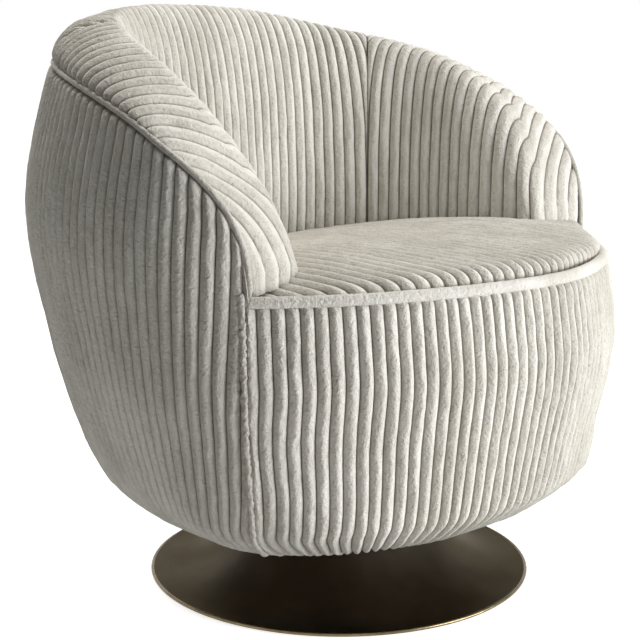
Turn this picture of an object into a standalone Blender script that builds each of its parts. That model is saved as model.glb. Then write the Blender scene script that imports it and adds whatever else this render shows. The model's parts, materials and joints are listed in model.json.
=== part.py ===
"""Swivel tub armchair in wide-wale corduroy, on a low spun-metal pedestal.

Metres, +Z up. The origin is on the floor, on the swivel axis. The chair faces -Y.
Angles round the body are measured about its own centre axis, from the front (0) to the back (pi);
the chair's two halves mirror each other in X.
"""
import math

import bmesh
import bpy
from mathutils import Matrix, Vector

# Outline of the upholstered body, seen from above, at its widest level
HALF_WIDTH = 0.405
FRONT_DEPTH = 0.270
BACK_DEPTH = 0.407
BODY_CENTRE_Y = -0.0605
FRONT_SQUARENESS = 1.65
BACK_SQUARENESS = 2.27

# Heights
UNDERSIDE_Z = 0.102
PIPING_Z = 0.410
BACK_SEAM_Z = 0.659
CREST_Z = 0.720
CROWN_RISE = 0.034

# Where the outer cover meets the front apron, and where the inner back meets the wings
CORNER_ANGLE = math.radians(75.0)
V_SEAM_ANGLE = math.radians(129.0)

# How the outline narrows by height: (share of the height from underside to back seam, share of radius)
SIDE_PROFILE_SHARES = ((0.0, 0.699), (0.208, 0.866), (0.422, 0.958), (0.671, 1.0), (1.03, 0.906), (1.2, 0.86))
FRONT_PROFILE_SHARES = ((0.0, 0.699), (0.208, 0.975), (0.387, 1.015), (0.553, 0.994), (0.671, 0.985), (1.2, 0.85))
BLEND_FROM_ANGLE = math.radians(55.0)
BLEND_TO_ANGLE = math.radians(110.0)
TUCK_SHARE = 0.575
WRAP_ROW_SHARES = (0.0, 0.28, 0.68, 1.0)
CREST_POWER = 2.21
SEAM_POWER = 2.53

# Corduroy
WALE_PITCH = 0.0151
WALE_DEPTH = 0.005

# Covers and paddings
WRAP_THICKNESS = 0.014
TUCK_THICKNESS = 0.005
WELT_RADIUS = 0.0075
SEAM_CORD_RADIUS = 0.003
PAD_THICKNESS = 0.040
FLAP_DEPTH = 0.046
FLAP_THICKNESS = 0.004
ROLL_FRONT_WIDTH = 0.085
ROLL_BACK_WIDTH = 0.060
ROLL_REACH = 0.060
LEAN_SHARE = 0.35
ARCH_ANGLES = tuple(math.radians(a) for a in (30.0, 50.0, 70.0))
PAD_WALE_SHARES = (0.0, 0.0, 0.5, 1.0, 1.0, 1.0, 1.0, 1.0, 0.0)
PAD_FAN_SHARES = (0.0, 0.0, 0.0, 0.3, 0.6, 0.9, 1.0, 1.0, 1.0)
FAN_POWER = 0.6

# Seat cushion
SEAT_HALF_WIDTH = 0.250
SEAT_BACK_DEPTH = 0.250
SEAT_SQUARENESS = 3.2
CUSHION_ROW_SHARES = (0.0, 0.04, 0.15, 0.35, 0.60, 0.85, 0.97, 1.0)
CROWN_ROW_SHARES = (0.0, 0.55, 1.0, 1.0, 1.0, 1.0, 0.9, 0.6)
CROWN_SPREAD_SHARE = 1.06
CROWN_POWER = 3
TIP_SHARE = 1.0 / 3.0
DRAW_IN_SHARE = 0.25
EDGE_RISE = 0.003
DRAW_IN = 0.006

# Running and seating gaps
SEAT_GAP = 0.0003
SOFT_GAP = 0.0006
FRAME_GAP = 0.0040
RAIL_GAP = 0.0012
PAD_GAP = 0.004
CORD_GAP = 0.0038

# Plywood frame
BOARD_Z = 0.1075
BOARD_THICKNESS = 0.018
BOARD_SHARE = 0.63
BOARD_BORE = 0.026
RING_Z = 0.285
RING_THICKNESS = 0.018
SIDE_LEDGE = 0.035
FRONT_LEDGE = 0.1355
BACK_LEDGE = 0.0495
RING_OPENING_SQUARENESS = 5.0
RIB_THICKNESS = 0.018
RIB_DEPTH = 0.075
LOWER_RIB_LEVEL_SHARES = (0.0, 0.3, 0.6, 1.0)
KNEE_SHARE = 0.6
LOWER_RIB_ANGLES = tuple(math.radians(a) for a in (30.0, 95.0, 150.0, 210.0, 265.0, 330.0))
UPPER_RIB_ANGLES = tuple(math.radians(a) for a in (112.0, 146.0, 180.0, 214.0, 248.0))
RAIL_THICKNESS = 0.016
RAIL_HEIGHT = 0.034
RAIL_OFFSET = 0.004
RAIL_DROP = 0.012
RAIL_START_ANGLE = math.radians(83.0)
POST_WIDTH = 0.030
POST_ANGLE = math.radians(86.5)

# Seat suspension
SPRING_COUNT = 5
SPRING_MARGIN = 0.102
SPRING_WIRE = 0.0019
SPRING_WAVE = 0.024
SPRING_TURNS = 7
SPRING_REACH = 0.020
CLIP_WIDTH = 0.016
CLIP_THICKNESS = 0.002
CLIP_REACH = 0.012
DECK_THICKNESS = 0.004
DECK_MARGIN = 0.012

# Pedestal
RIM_RADIUS = 0.2445
RIM_BEAD = 0.003
RIM_GAP = 0.001
TRUMPET_POWER = 2.4
FLANGE_RADIUS = 0.104
FLANGE_Z = 0.0957
FLANGE_BORE = 0.022
COVER_THICKNESS = 0.002
FLOOR_PAD_THICKNESS = 0.003
BASE_PLATE_THICKNESS = 0.006
BASE_PLATE_RADIUS = 0.196
COLUMN_RADIUS = 0.045
COLUMN_WALL = 0.004
COLUMN_FLANGE_RADIUS = 0.094
COLUMN_FLANGE_THICKNESS = 0.005

# Ball-bearing swivel
PLATE_THICKNESS = 0.003
LOWER_PLATE_SIDE = 0.150
UPPER_PLATE_SIDE = 0.170
PLATE_CORNER = 0.012
PLATE_BORE = 0.0105
LOWER_BOLT_OFFSET = 0.050
UPPER_BOLT_OFFSET = 0.062
RACE_RADIUS = 0.050
BALL_COUNT = 10
BALL_RADIUS = 0.004
BALL_GAP = 0.0003
PLATE_SPACING = 0.005
CAGE_WIDTH = 0.013
CAGE_THICKNESS = 0.0016
PIN_RADIUS = 0.009
PIN_HEAD_RADIUS = 0.016
PIN_HEAD_HEIGHT = 0.005
BOLT_RADIUS = 0.003
BOLT_HEAD_RADIUS = 0.0058
BOLT_HEAD_HEIGHT = 0.0024
LOWER_BOLT_LENGTH = 0.014
UPPER_BOLT_LENGTH = 0.016
BOLT_CLEARANCE = 0.0003
PIN_CHAMFER_SHARE = 0.25
BOLT_CHAMFER_SHARE = 1.0 / 3.0
BOLT_SHOULDER_SHARE = 0.4

# Facets
ROUND_STEPS = 48
RING_STEPS = 60
RAIL_STEPS = 48
WELT_STEPS = 32
WELT_SIDES = 6
CORD_STEPS = 72
CORD_SIDES = 4
SPRING_TURN_STEPS = 4
SPRING_SIDES = 4
TRUMPET_STEPS = 6
TUBE_STEPS = 24
PIN_STEPS = 16
RACE_STEPS = 36
POCKET_STEPS = 10
HOLE_STEPS = 10
GROOVE_SIDES = 10
SCREW_STEPS = 8
CORNER_STEPS = 3
WALES_PER_BACK_STEP = 3
MEASURE_STEPS = 720
SMOOTH_LIMIT = math.radians(35.0)
CUT_OVERRUN = 0.01


def clear_scene():
    for item in list(bpy.data.objects):
        bpy.data.objects.remove(item, do_unlink=True)


def make_material(name, colour, roughness, metallic=0.0):
    material = bpy.data.materials.new(name)
    material.use_nodes = True
    shader = material.node_tree.nodes["Principled BSDF"]
    shader.inputs["Base Color"].default_value = (*colour, 1.0)
    shader.inputs["Roughness"].default_value = roughness
    shader.inputs["Metallic"].default_value = metallic
    return material


def make_object(name, bm, material, smooth=False, parent=None):
    """Turns a bmesh, built in world coordinates, into a named object with faces pointing out."""
    bmesh.ops.recalc_face_normals(bm, faces=bm.faces)
    if bm.calc_volume(signed=True) < 0.0:
        bmesh.ops.reverse_faces(bm, faces=bm.faces)
    mesh = bpy.data.meshes.new(name)
    bm.to_mesh(mesh)
    bm.free()
    if smooth:
        mesh.shade_smooth()
        mesh.set_sharp_from_angle(angle=SMOOTH_LIMIT)
    mesh.materials.append(material)
    item = bpy.data.objects.new(name, mesh)
    bpy.context.scene.collection.objects.link(item)
    item.parent = parent
    return item


def cut(item, cutter_bm, name):
    """Takes a cutter, given as a bmesh, out of an object."""
    bmesh.ops.recalc_face_normals(cutter_bm, faces=cutter_bm.faces)
    mesh = bpy.data.meshes.new(name)
    cutter_bm.to_mesh(mesh)
    cutter_bm.free()
    cutter = bpy.data.objects.new(name, mesh)
    bpy.context.scene.collection.objects.link(cutter)
    cutter.hide_render = True
    cutter.display_type = "WIRE"
    modifier = item.modifiers.new(name, "BOOLEAN")
    modifier.operation = "DIFFERENCE"
    modifier.object = cutter


# Curves and shares
def smooth_through(knots, x):
    """A smooth curve through (x, y) knots that never overshoots them."""
    if x <= knots[0][0]:
        return knots[0][1]
    if x >= knots[-1][0]:
        return knots[-1][1]
    slopes = [(b[1] - a[1]) / (b[0] - a[0]) for a, b in zip(knots, knots[1:])]
    k = max(i for i in range(len(slopes)) if knots[i][0] <= x)

    def tangent(i):
        if i == 0:
            return slopes[0]
        if i == len(slopes):
            return slopes[-1]
        before, after = slopes[i - 1], slopes[i]
        return 0.0 if before * after <= 0.0 else 2.0 * before * after / (before + after)

    (x0, y0), (x1, y1) = knots[k], knots[k + 1]
    span = x1 - x0
    s = (x - x0) / span
    rise = (2 * s**3 - 3 * s**2 + 1) * y0 + (3 * s**2 - 2 * s**3) * y1
    return rise + span * ((s**3 - 2 * s**2 + s) * tangent(k) + (s**3 - s**2) * tangent(k + 1))


def fold(angle):
    """The same place on the other half, as an angle from 0 to pi."""
    return math.acos(max(-1.0, min(1.0, math.cos(angle))))


def ease(low, high, x):
    """0 below low, 1 above high, smooth between."""
    s = min(1.0, max(0.0, (x - low) / (high - low)))
    return s * s * (3.0 - 2.0 * s)


def mix(a, b, share):
    return a + (b - a) * share


# The body's outline
def plan_radius(angle):
    """Distance from the body's centre axis to its widest outline."""
    ahead = math.cos(angle)
    depth = FRONT_DEPTH if ahead > 0.0 else BACK_DEPTH
    power = FRONT_SQUARENESS if ahead > 0.0 else BACK_SQUARENESS
    total = abs(math.sin(angle) / HALF_WIDTH) ** power + abs(ahead / depth) ** power
    return total ** (-1.0 / power)


def outline_radius(angle, z):
    """Distance from the body's centre axis to the crests of the outer cover at a height."""
    share = (z - UNDERSIDE_Z) / (BACK_SEAM_Z - UNDERSIDE_Z)
    side = smooth_through(SIDE_PROFILE_SHARES, share)
    front = smooth_through(FRONT_PROFILE_SHARES, share)
    return plan_radius(angle) * mix(front, side, ease(BLEND_FROM_ANGLE, BLEND_TO_ANGLE, fold(angle)))


def polar(angle, radius, z):
    """A point by its angle from the front; positive angles lie towards -X."""
    return Vector((-radius * math.sin(angle), BODY_CENTRE_Y - radius * math.cos(angle), z))


def swept(angle, power):
    """0 at the front corner, rising like a quarter superellipse to 1 at the back."""
    share = (math.pi - fold(angle)) / (math.pi - CORNER_ANGLE)
    return max(0.0, 1.0 - min(1.0, share) ** power) ** (1.0 / power)


def crest_z(angle):
    return PIPING_Z + (CREST_Z - PIPING_Z) * swept(angle, CREST_POWER)


def seam_z(angle):
    return PIPING_Z + (BACK_SEAM_Z - PIPING_Z) * swept(angle, SEAM_POWER)


def roll_width(angle):
    share = (fold(angle) - CORNER_ANGLE) / (math.pi - CORNER_ANGLE)
    return mix(ROLL_FRONT_WIDTH, ROLL_BACK_WIDTH, share)


def seat_radius(angle):
    """Distance from the body's centre axis to the inner wall at seat level."""
    side = abs(math.sin(angle)) / SEAT_HALF_WIDTH
    if math.cos(angle) > 0.0:
        return 1.0 / side
    back = abs(math.cos(angle)) / SEAT_BACK_DEPTH
    return (side**SEAT_SQUARENESS + back**SEAT_SQUARENESS) ** (-1.0 / SEAT_SQUARENESS)


def running_length(points):
    run = [0.0]
    for a, b in zip(points, points[1:]):
        run.append(run[-1] + (b - a).length)
    return run


def even_angles(start, end, count):
    """Angles that divide the widest outline between two angles into equal lengths."""
    steps = MEASURE_STEPS
    angles = [mix(start, end, k / steps) for k in range(steps + 1)]
    run = running_length([polar(a, plan_radius(a), 0.0) for a in angles])
    result = []
    k = 0
    for j in range(count + 1):
        want = run[-1] * j / count
        while k < steps - 1 and run[k + 1] < want:
            k += 1
        result.append(mix(angles[k], angles[k + 1], (want - run[k]) / (run[k + 1] - run[k])))
    return result


def outline_length(start, end):
    angles = [mix(start, end, k / MEASURE_STEPS) for k in range(MEASURE_STEPS + 1)]
    return running_length([polar(a, plan_radius(a), 0.0) for a in angles])[-1]


# Closed solids from grids of points
def add_wall(bm, face_grid, back_grid):
    """Joins two grids of points with as many rows into one solid; the back may have fewer columns."""
    face = [[bm.verts.new(p) for p in row] for row in face_grid]
    back = [[bm.verts.new(p) for p in row] for row in back_grid]
    for grid in (face, back):
        for low, high in zip(grid, grid[1:]):
            for k in range(len(low) - 1):
                bm.faces.new((low[k], low[k + 1], high[k + 1], high[k]))
    for k in range(len(face) - 1):
        bm.faces.new((face[k][0], face[k + 1][0], back[k + 1][0], back[k][0]))
        bm.faces.new((face[k][-1], face[k + 1][-1], back[k + 1][-1], back[k][-1]))
    step = (len(face[0]) - 1) // (len(back[0]) - 1)
    for fine, coarse in ((face[0], back[0]), (face[-1], back[-1])):
        for j in range(len(coarse) - 1):
            run = fine[j * step:(j + 1) * step + 1]
            middle = len(run) // 2
            for k in range(len(run) - 1):
                corner = coarse[j] if k < middle else coarse[j + 1]
                bm.faces.new((run[k], run[k + 1], corner))
            bm.faces.new((run[middle], coarse[j + 1], coarse[j]))


def add_loft(bm, rings):
    """Joins closed rings of points, alike in count, and closes both ends."""
    loops = [[bm.verts.new(p) for p in ring] for ring in rings]
    for a, b in zip(loops, loops[1:]):
        for k in range(len(a)):
            n = (k + 1) % len(a)
            bm.faces.new((a[k], a[n], b[n], b[k]))
    bm.faces.new(loops[0])
    bm.faces.new(loops[-1])


def add_turned(bm, profile, steps=ROUND_STEPS, centre=(0.0, 0.0)):
    """Turns a closed (radius, z) profile about a vertical axis."""
    loops = []
    for k in range(steps):
        turn = 2.0 * math.pi * k / steps
        loops.append([
            bm.verts.new((centre[0] + r * math.cos(turn), centre[1] + r * math.sin(turn), z)) for r, z in profile
        ])
    for j in range(steps):
        a, b = loops[j], loops[(j + 1) % steps]
        for k in range(len(profile)):
            n = (k + 1) % len(profile)
            bm.faces.new((a[k], a[n], b[n], b[k]))


def add_post(bm, profile, steps, centre=(0.0, 0.0)):
    """Turns an open (radius, z) profile, listed upwards, into a solid closed by flat ends."""
    rings = []
    for r, z in profile:
        rings.append([
            Vector((centre[0] + r * math.cos(t), centre[1] + r * math.sin(t), z))
            for t in (2.0 * math.pi * k / steps for k in range(steps))
        ])
    add_loft(bm, rings)


def add_tube(bm, path, radius, sides):
    """A round tube along a path, closed at both ends."""
    rings = []
    for k, point in enumerate(path):
        ahead = (path[min(k + 1, len(path) - 1)] - path[max(k - 1, 0)]).normalized()
        across = ahead.cross(Vector((0.0, 0.0, 1.0))).normalized()
        up = across.cross(ahead)
        rings.append([
            point + radius * (math.cos(t) * across + math.sin(t) * up)
            for t in (2.0 * math.pi * (j + 0.5) / sides for j in range(sides))
        ])
    add_loft(bm, rings)


def add_prism(bm, outline, low, high):
    """Extrudes a flat outline of (x, y) points between two heights."""
    add_loft(bm, [[Vector((x, y, z)) for x, y in outline] for z in (low, high)])


def rounded_square(side, corner, steps=CORNER_STEPS):
    half = side / 2.0 - corner
    points = []
    for k, (sx, sy) in enumerate(((1, 1), (-1, 1), (-1, -1), (1, -1))):
        for j in range(steps + 1):
            turn = math.pi / 2.0 * (k + j / steps)
            points.append((sx * half + corner * math.cos(turn), sy * half + corner * math.sin(turn)))
    return points


# Outer covers
def cover_top_z(angle):
    """Height of the outer covers' top edge: the piping in front, the sloping seam behind."""
    if fold(angle) < CORNER_ANGLE:
        return PIPING_Z - WELT_RADIUS - SEAT_GAP
    return seam_z(angle) - SEAM_CORD_RADIUS - CORD_GAP


def cover_thickness(angle):
    return 2.0 * WELT_RADIUS if fold(angle) < CORNER_ANGLE else WRAP_THICKNESS


def cover_rows(angle, inset=0.0, lift=0.0):
    """(radius, z) points up an outer cover, from its tuck under the body to its top edge."""
    points = [(plan_radius(angle) * TUCK_SHARE, UNDERSIDE_Z + lift)]
    corner_z = UNDERSIDE_Z + 2.0 * TUCK_THICKNESS
    for share in WRAP_ROW_SHARES:
        z = mix(corner_z, cover_top_z(angle), share)
        points.append((outline_radius(angle, z) - inset, z))
    if lift:
        points[1] = (points[1][0], UNDERSIDE_Z + lift)
    return points


def along(points, z):
    """Radius at a height on (radius, z) points listed upwards."""
    for (r0, z0), (r1, z1) in zip(points, points[1:]):
        if z <= z1:
            return mix(r0, r1, max(0.0, (z - z0) / (z1 - z0)))
    return points[-1][0]


def cover_panel(name, start, end, material, parent):
    """An outer cover with vertical wales between two angles round the body."""
    group = WALES_PER_BACK_STEP
    wales = group * round(outline_length(start, end) / WALE_PITCH / group)
    fine = even_angles(start, end, 2 * wales)
    coarse = fine[::2 * group]
    face = []
    for k, angle in enumerate(fine):
        inset = 0.0 if k % 2 else WALE_DEPTH
        face.append([polar(angle, r - (inset if j else 0.0), z) for j, (r, z) in enumerate(cover_rows(angle))])
    back = []
    for angle in coarse:
        inner = cover_rows(angle, cover_thickness(mix(start, end, 0.5)), TUCK_THICKNESS)
        back.append([polar(angle, r, z) for r, z in inner])
    bm = bmesh.new()
    add_wall(bm, list(zip(*face)), list(zip(*back)))
    return make_object(name, bm, material, parent=parent)


def build_covers(fabric, parent):
    gap = SOFT_GAP / HALF_WIDTH
    cover_panel("outer_wrap", CORNER_ANGLE + gap, 2.0 * math.pi - CORNER_ANGLE - gap, fabric, parent)
    cover_panel("front_apron", -CORNER_ANGLE + gap, CORNER_ANGLE - gap, fabric, parent)


# Inner pads with the roll over the crest
def bezier(a, b, c, d, t):
    s = 1.0 - t
    return tuple(s**3 * p + 3 * s * s * t * q + 3 * s * t * t * u + t**3 * v for p, q, u, v in zip(a, b, c, d))


def pad_face(angle):
    """(radius, z) points of a pad's upholstered side: flap, seam, over the crest and down to the deck."""
    edge_z = seam_z(angle) + SEAM_CORD_RADIUS + CORD_GAP
    seam_r = outline_radius(angle, seam_z(angle)) - WALE_DEPTH / 2.0
    flap_r = outline_radius(angle, seam_z(angle)) - WRAP_THICKNESS - PAD_GAP
    top_z = max(crest_z(angle), edge_z + SEAM_CORD_RADIUS)
    top_r = seam_r - roll_width(angle)
    wall_r = seat_radius(angle)
    middle = math.sqrt(0.5)
    reach = min(ROLL_REACH, top_r - wall_r)
    crest = (top_r, top_z)
    start = (top_r - reach, top_z)
    lean = (mix(wall_r, top_r - reach, LEAN_SHARE), mix(PIPING_Z, top_z, LEAN_SHARE))
    base = (wall_r, PIPING_Z)
    return [
        (flap_r, seam_z(angle) - FLAP_DEPTH),
        (flap_r, edge_z),
        (seam_r, edge_z),
        (mix(top_r, seam_r, middle), mix(edge_z, top_z, middle)),
        crest,
        bezier(crest, start, lean, base, 1.0 / 3.0),
        bezier(crest, start, lean, base, 2.0 / 3.0),
        base,
        (wall_r, RING_Z + RING_THICKNESS + SEAT_GAP),
    ]


def pad_back(angle):
    """(radius, z) points of the same pad's hidden side, row by row."""
    face = pad_face(angle)
    low = (face[0][0] - FLAP_THICKNESS, face[0][1])
    wall_r = seat_radius(angle) + PAD_THICKNESS
    crest = (max(face[4][0], wall_r + FLAP_THICKNESS), face[4][1] - PAD_THICKNESS)
    wall_z = PIPING_Z - PAD_THICKNESS
    start = (mix(crest[0], wall_r, 0.5), crest[1])
    lean = (mix(wall_r, start[0], LEAN_SHARE), mix(wall_z, crest[1], LEAN_SHARE))
    base = (wall_r, wall_z)
    arch = [low]
    for turn in ARCH_ANGLES:
        arch.append((mix(crest[0], low[0], math.cos(turn)), mix(low[1], crest[1], math.sin(turn))))
    return arch + [
        crest,
        bezier(crest, start, lean, base, 1.0 / 3.0),
        bezier(crest, start, lean, base, 2.0 / 3.0),
        base,
        (wall_r, face[8][1]),
    ]


def pad_normals(points):
    """Unit (radius, z) directions that point out of a pad's upholstered side."""
    normals = []
    for k in range(len(points)):
        (r0, z0), (r1, z1) = points[max(k - 1, 0)], points[min(k + 1, len(points) - 1)]
        length = math.hypot(r1 - r0, z1 - z0)
        normals.append(((z1 - z0) / length, (r0 - r1) / length))
    return normals


def crest_angles(start, end, steps=MEASURE_STEPS // 3):
    """A function from a share of the crest's length to its angle."""
    angles = [mix(start, end, k / steps) for k in range(steps + 1)]
    run = running_length([polar(a, *pad_face(a)[4]) for a in angles])

    def angle_at(share):
        want = run[-1] * share
        k = min(steps - 1, max(j for j in range(steps + 1) if run[j] <= want + run[-1] / steps**3))
        return mix(angles[k], angles[k + 1], (want - run[k]) / (run[k + 1] - run[k]))

    return angle_at, run[-1]


def pad_column(angles, section, wale_inset):
    """One line of a pad's grid, each row at its own angle."""
    column = []
    for row, angle in enumerate(angles):
        points = section(angle)
        normal = pad_normals(points)[row]
        inset = wale_inset * PAD_WALE_SHARES[row]
        column.append(polar(angle, points[row][0] - normal[0] * inset, points[row][1] - normal[1] * inset))
    return column


def pad_panel(name, start, end, fans, material, parent):
    """An inner pad whose wales cross the roll and run down to the seat; fans sweep them to the front."""
    angle_at, length = crest_angles(start, end)
    group = WALES_PER_BACK_STEP
    wales = group * round(length / WALE_PITCH / group)
    rows = range(len(PAD_FAN_SHARES))
    lines = []
    for k in range(2 * wales + 1):
        share = k / (2 * wales)
        lines.append([angle_at(share ** (1.0 + (FAN_POWER * PAD_FAN_SHARES[row] if fans else 0.0))) for row in rows])
    face = [pad_column(line, pad_face, 0.0 if k % 2 else WALE_DEPTH) for k, line in enumerate(lines)]
    back = [pad_column(line, pad_back, 0.0) for line in lines[::2 * group]]
    bm = bmesh.new()
    add_wall(bm, list(zip(*face)), list(zip(*back)))
    return make_object(name, bm, material, parent=parent)


def build_pads(fabric, parent):
    gap = SOFT_GAP / HALF_WIDTH
    right = 2.0 * math.pi
    pad_panel("inside_wing_left", CORNER_ANGLE + gap, V_SEAM_ANGLE - gap, True, fabric, parent)
    pad_panel("inside_wing_right", right - CORNER_ANGLE - gap, right - V_SEAM_ANGLE + gap, True, fabric, parent)
    pad_panel("inside_back", V_SEAM_ANGLE + gap, right - V_SEAM_ANGLE - gap, False, fabric, parent)


def build_piping(fabric, parent):
    bm = bmesh.new()
    ends = CORNER_ANGLE - PAD_GAP / HALF_WIDTH
    path = []
    for angle in even_angles(-ends, ends, WELT_STEPS):
        path.append(polar(angle, outline_radius(angle, PIPING_Z) - WELT_RADIUS, PIPING_Z))
    add_tube(bm, path, WELT_RADIUS, WELT_SIDES)
    make_object("seat_welt", bm, fabric, smooth=True, parent=parent)
    bm = bmesh.new()
    ends = CORNER_ANGLE + PAD_GAP / HALF_WIDTH
    angle_at = crest_angles(ends, 2.0 * math.pi - ends)[0]
    path = []
    for angle in (angle_at(k / CORD_STEPS) for k in range(CORD_STEPS + 1)):
        radius = outline_radius(angle, seam_z(angle)) - SEAM_CORD_RADIUS
        path.append(polar(angle, radius, seam_z(angle)))
    add_tube(bm, path, SEAM_CORD_RADIUS, CORD_SIDES)
    make_object("roll_piping", bm, fabric, smooth=True, parent=parent)


# Seat
def seat_front_point(angle):
    radius = outline_radius(angle, PIPING_Z) - 2.0 * WELT_RADIUS - CORD_GAP
    return polar(angle, radius, 0.0)


def seat_front_y(x):
    """The cushion's front edge, just behind the welt."""
    low, high = 0.0, CORNER_ANGLE
    for _ in range(40):
        middle = mix(low, high, 0.5)
        if -seat_front_point(middle).x < abs(x):
            low = middle
        else:
            high = middle
    return seat_front_point(low).y


def seat_back_y(x):
    """The cushion's back edge: the inner back between the arms, the arms' front ends outside them."""
    width = SEAT_HALF_WIDTH - SOFT_GAP
    if abs(x) <= width:
        depth = SEAT_BACK_DEPTH - SOFT_GAP
        share = 1.0 - (abs(x) / width) ** SEAT_SQUARENESS
        return BODY_CENTRE_Y + depth * share ** (1.0 / SEAT_SQUARENESS)
    return BODY_CENTRE_Y - abs(x) / math.tan(CORNER_ANGLE) - SOFT_GAP


def cushion_low_z():
    clip_top = RING_Z + RING_THICKNESS + 2.0 * SEAT_GAP + 2.0 * SPRING_WIRE + CLIP_THICKNESS
    return clip_top + SEAT_GAP + DECK_THICKNESS + SEAT_GAP


def build_cushion(fabric, parent):
    width = SEAT_HALF_WIDTH - SOFT_GAP
    tip = -seat_front_point(CORNER_ANGLE).x - WALE_PITCH * TIP_SHARE
    inner = 2 * round(width / WALE_PITCH)
    outer = 2 * round((tip - width) / WALE_PITCH)
    half = [width * k / inner for k in range(inner + 1)]
    half += [mix(width + SOFT_GAP, tip, k / outer) for k in range(outer + 1)]
    columns = [-x for x in reversed(half[1:])] + half
    front_y, back_y = seat_front_y(0.0), seat_back_y(0.0)
    middle_y = mix(front_y, back_y, 0.5)
    low_z = cushion_low_z()
    rings = []
    for k, x in enumerate(columns):
        y0, y1 = seat_front_y(x), seat_back_y(x)
        wale = 0.0 if k % 2 else WALE_DEPTH
        across = 1.0 - abs(x / tip / CROWN_SPREAD_SHARE) ** CROWN_POWER
        draw_in = min(DRAW_IN, (y1 - y0) * DRAW_IN_SHARE)
        ring = [Vector((x, y0 + draw_in, low_z))]
        for share, rise in zip(CUSHION_ROW_SHARES, CROWN_ROW_SHARES):
            y = mix(y0, y1, share)
            deep = 1.0 - abs((y - middle_y) / (back_y - middle_y) / CROWN_SPREAD_SHARE) ** CROWN_POWER
            z = PIPING_Z + EDGE_RISE + CROWN_RISE * across * deep * rise - wale
            ring.append(Vector((x, y, z)))
        ring.append(Vector((x, y1 - draw_in, low_z)))
        rings.append(ring)
    bm = bmesh.new()
    add_loft(bm, rings)
    make_object("seat_cushion", bm, fabric, parent=parent)


# Wooden frame
def cover_inside(angle, gap=FRAME_GAP):
    """(radius, z) points just inside the outer covers, upwards."""
    return cover_rows(angle, cover_thickness(angle) + gap, TUCK_THICKNESS)[1:]


def rail_section(angle):
    """Inner and outer radius, bottom and top of the bent top rail, which fits under the pad's hollow arch."""
    arch = pad_back(angle)[:5]
    inner = arch[4][0] + RAIL_OFFSET
    outer = inner + RAIL_THICKNESS
    top = arch[0][1]
    for (r0, z0), (r1, z1) in zip(arch, arch[1:]):
        if r1 <= outer <= r0:
            top = mix(z0, z1, (r0 - outer) / (r0 - r1))
    top -= RAIL_DROP
    return inner, outer, top - RAIL_HEIGHT, top


def ring_outer_radius(angle):
    inside = cover_inside(angle)
    return min(along(inside, RING_Z), along(inside, RING_Z + RING_THICKNESS))


def ring_opening_radius(angle):
    """Distance from the body's centre axis to the edge of the opening that the springs span."""
    depth = FRONT_DEPTH - FRONT_LEDGE if math.cos(angle) > 0.0 else SEAT_BACK_DEPTH - BACK_LEDGE
    width = SEAT_HALF_WIDTH - SIDE_LEDGE
    power = RING_OPENING_SQUARENESS
    return (abs(math.sin(angle) / width) ** power + abs(math.cos(angle) / depth) ** power) ** (-1.0 / power)


def add_ring(bm, angles, outer, inner, low, high):
    """A flat ring between an outer and an inner outline."""
    loops = [[bm.verts.new(polar(a, radius(a), z)) for a in angles]
             for radius, z in ((outer, low), (outer, high), (inner, high), (inner, low))]
    for k in range(len(loops)):
        a, b = loops[k], loops[(k + 1) % len(loops)]
        for j in range(len(angles)):
            n = (j + 1) % len(angles)
            bm.faces.new((a[j], a[n], b[n], b[j]))


def rib_side(angle, low_z, top_z, upper):
    """(radius, z) outline of one side of a rib, up its outer edge and down its inner edge."""
    inside = cover_inside(angle)
    if not upper:
        foot_r = plan_radius(angle) * BOARD_SHARE - 2.0 * FRAME_GAP
        outer = [(along(inside, z), z) for z in (mix(low_z, top_z, s) for s in LOWER_RIB_LEVEL_SHARES)]
        outer[0] = (min(outer[0][0], foot_r), low_z)
        return outer + [(r - RIB_DEPTH, z) for r, z in reversed(outer)]
    back = pad_back(angle)
    wall = [(r + FRAME_GAP, z) for r, z in reversed(back[4:])]
    rail_in, rail_out = rail_section(angle)[:2]
    flap_z = back[0][1] - 2.0 * FRAME_GAP
    flap_r = back[0][0] - FRAME_GAP
    knee_z = min(flap_z - RAIL_THICKNESS, mix(low_z, top_z, KNEE_SHARE))
    levels = (low_z, mix(low_z, knee_z, 0.5), knee_z)
    outer = [(along(inside, z) - FRAME_GAP, z) for z in levels]
    shoulder_z = min(flap_z, top_z - FRAME_GAP)
    outer.append((min(flap_r, along(inside, shoulder_z) - FRAME_GAP), shoulder_z))
    outer.append((min(rail_out, outer[-1][0]), top_z))
    inner = [(rail_in, top_z)] + [(along(wall, z), z) for z in reversed(levels)]
    return outer + inner


def build_rib(name, angle, thickness, upper, material, parent):
    """An upright plywood rib between the board and the seat ring, or the seat ring and the top rail."""
    tangent = Vector((-math.cos(angle), math.sin(angle), 0.0))
    rings = []
    for side in (-0.5, 0.5):
        near = angle + side * thickness / (rail_section(angle)[0] if upper else plan_radius(angle))
        if upper:
            low_z = RING_Z + RING_THICKNESS + SEAT_GAP
            top_z = rail_section(near)[2] - RAIL_GAP
        else:
            low_z = BOARD_Z + BOARD_THICKNESS + SEAT_GAP
            top_z = RING_Z - SEAT_GAP
        rings.append([polar(angle, r, z) + tangent * thickness * side
                      for r, z in rib_side(near, low_z, top_z, upper)])
    bm = bmesh.new()
    add_loft(bm, rings)
    make_object(name, bm, material, parent=parent)


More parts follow.
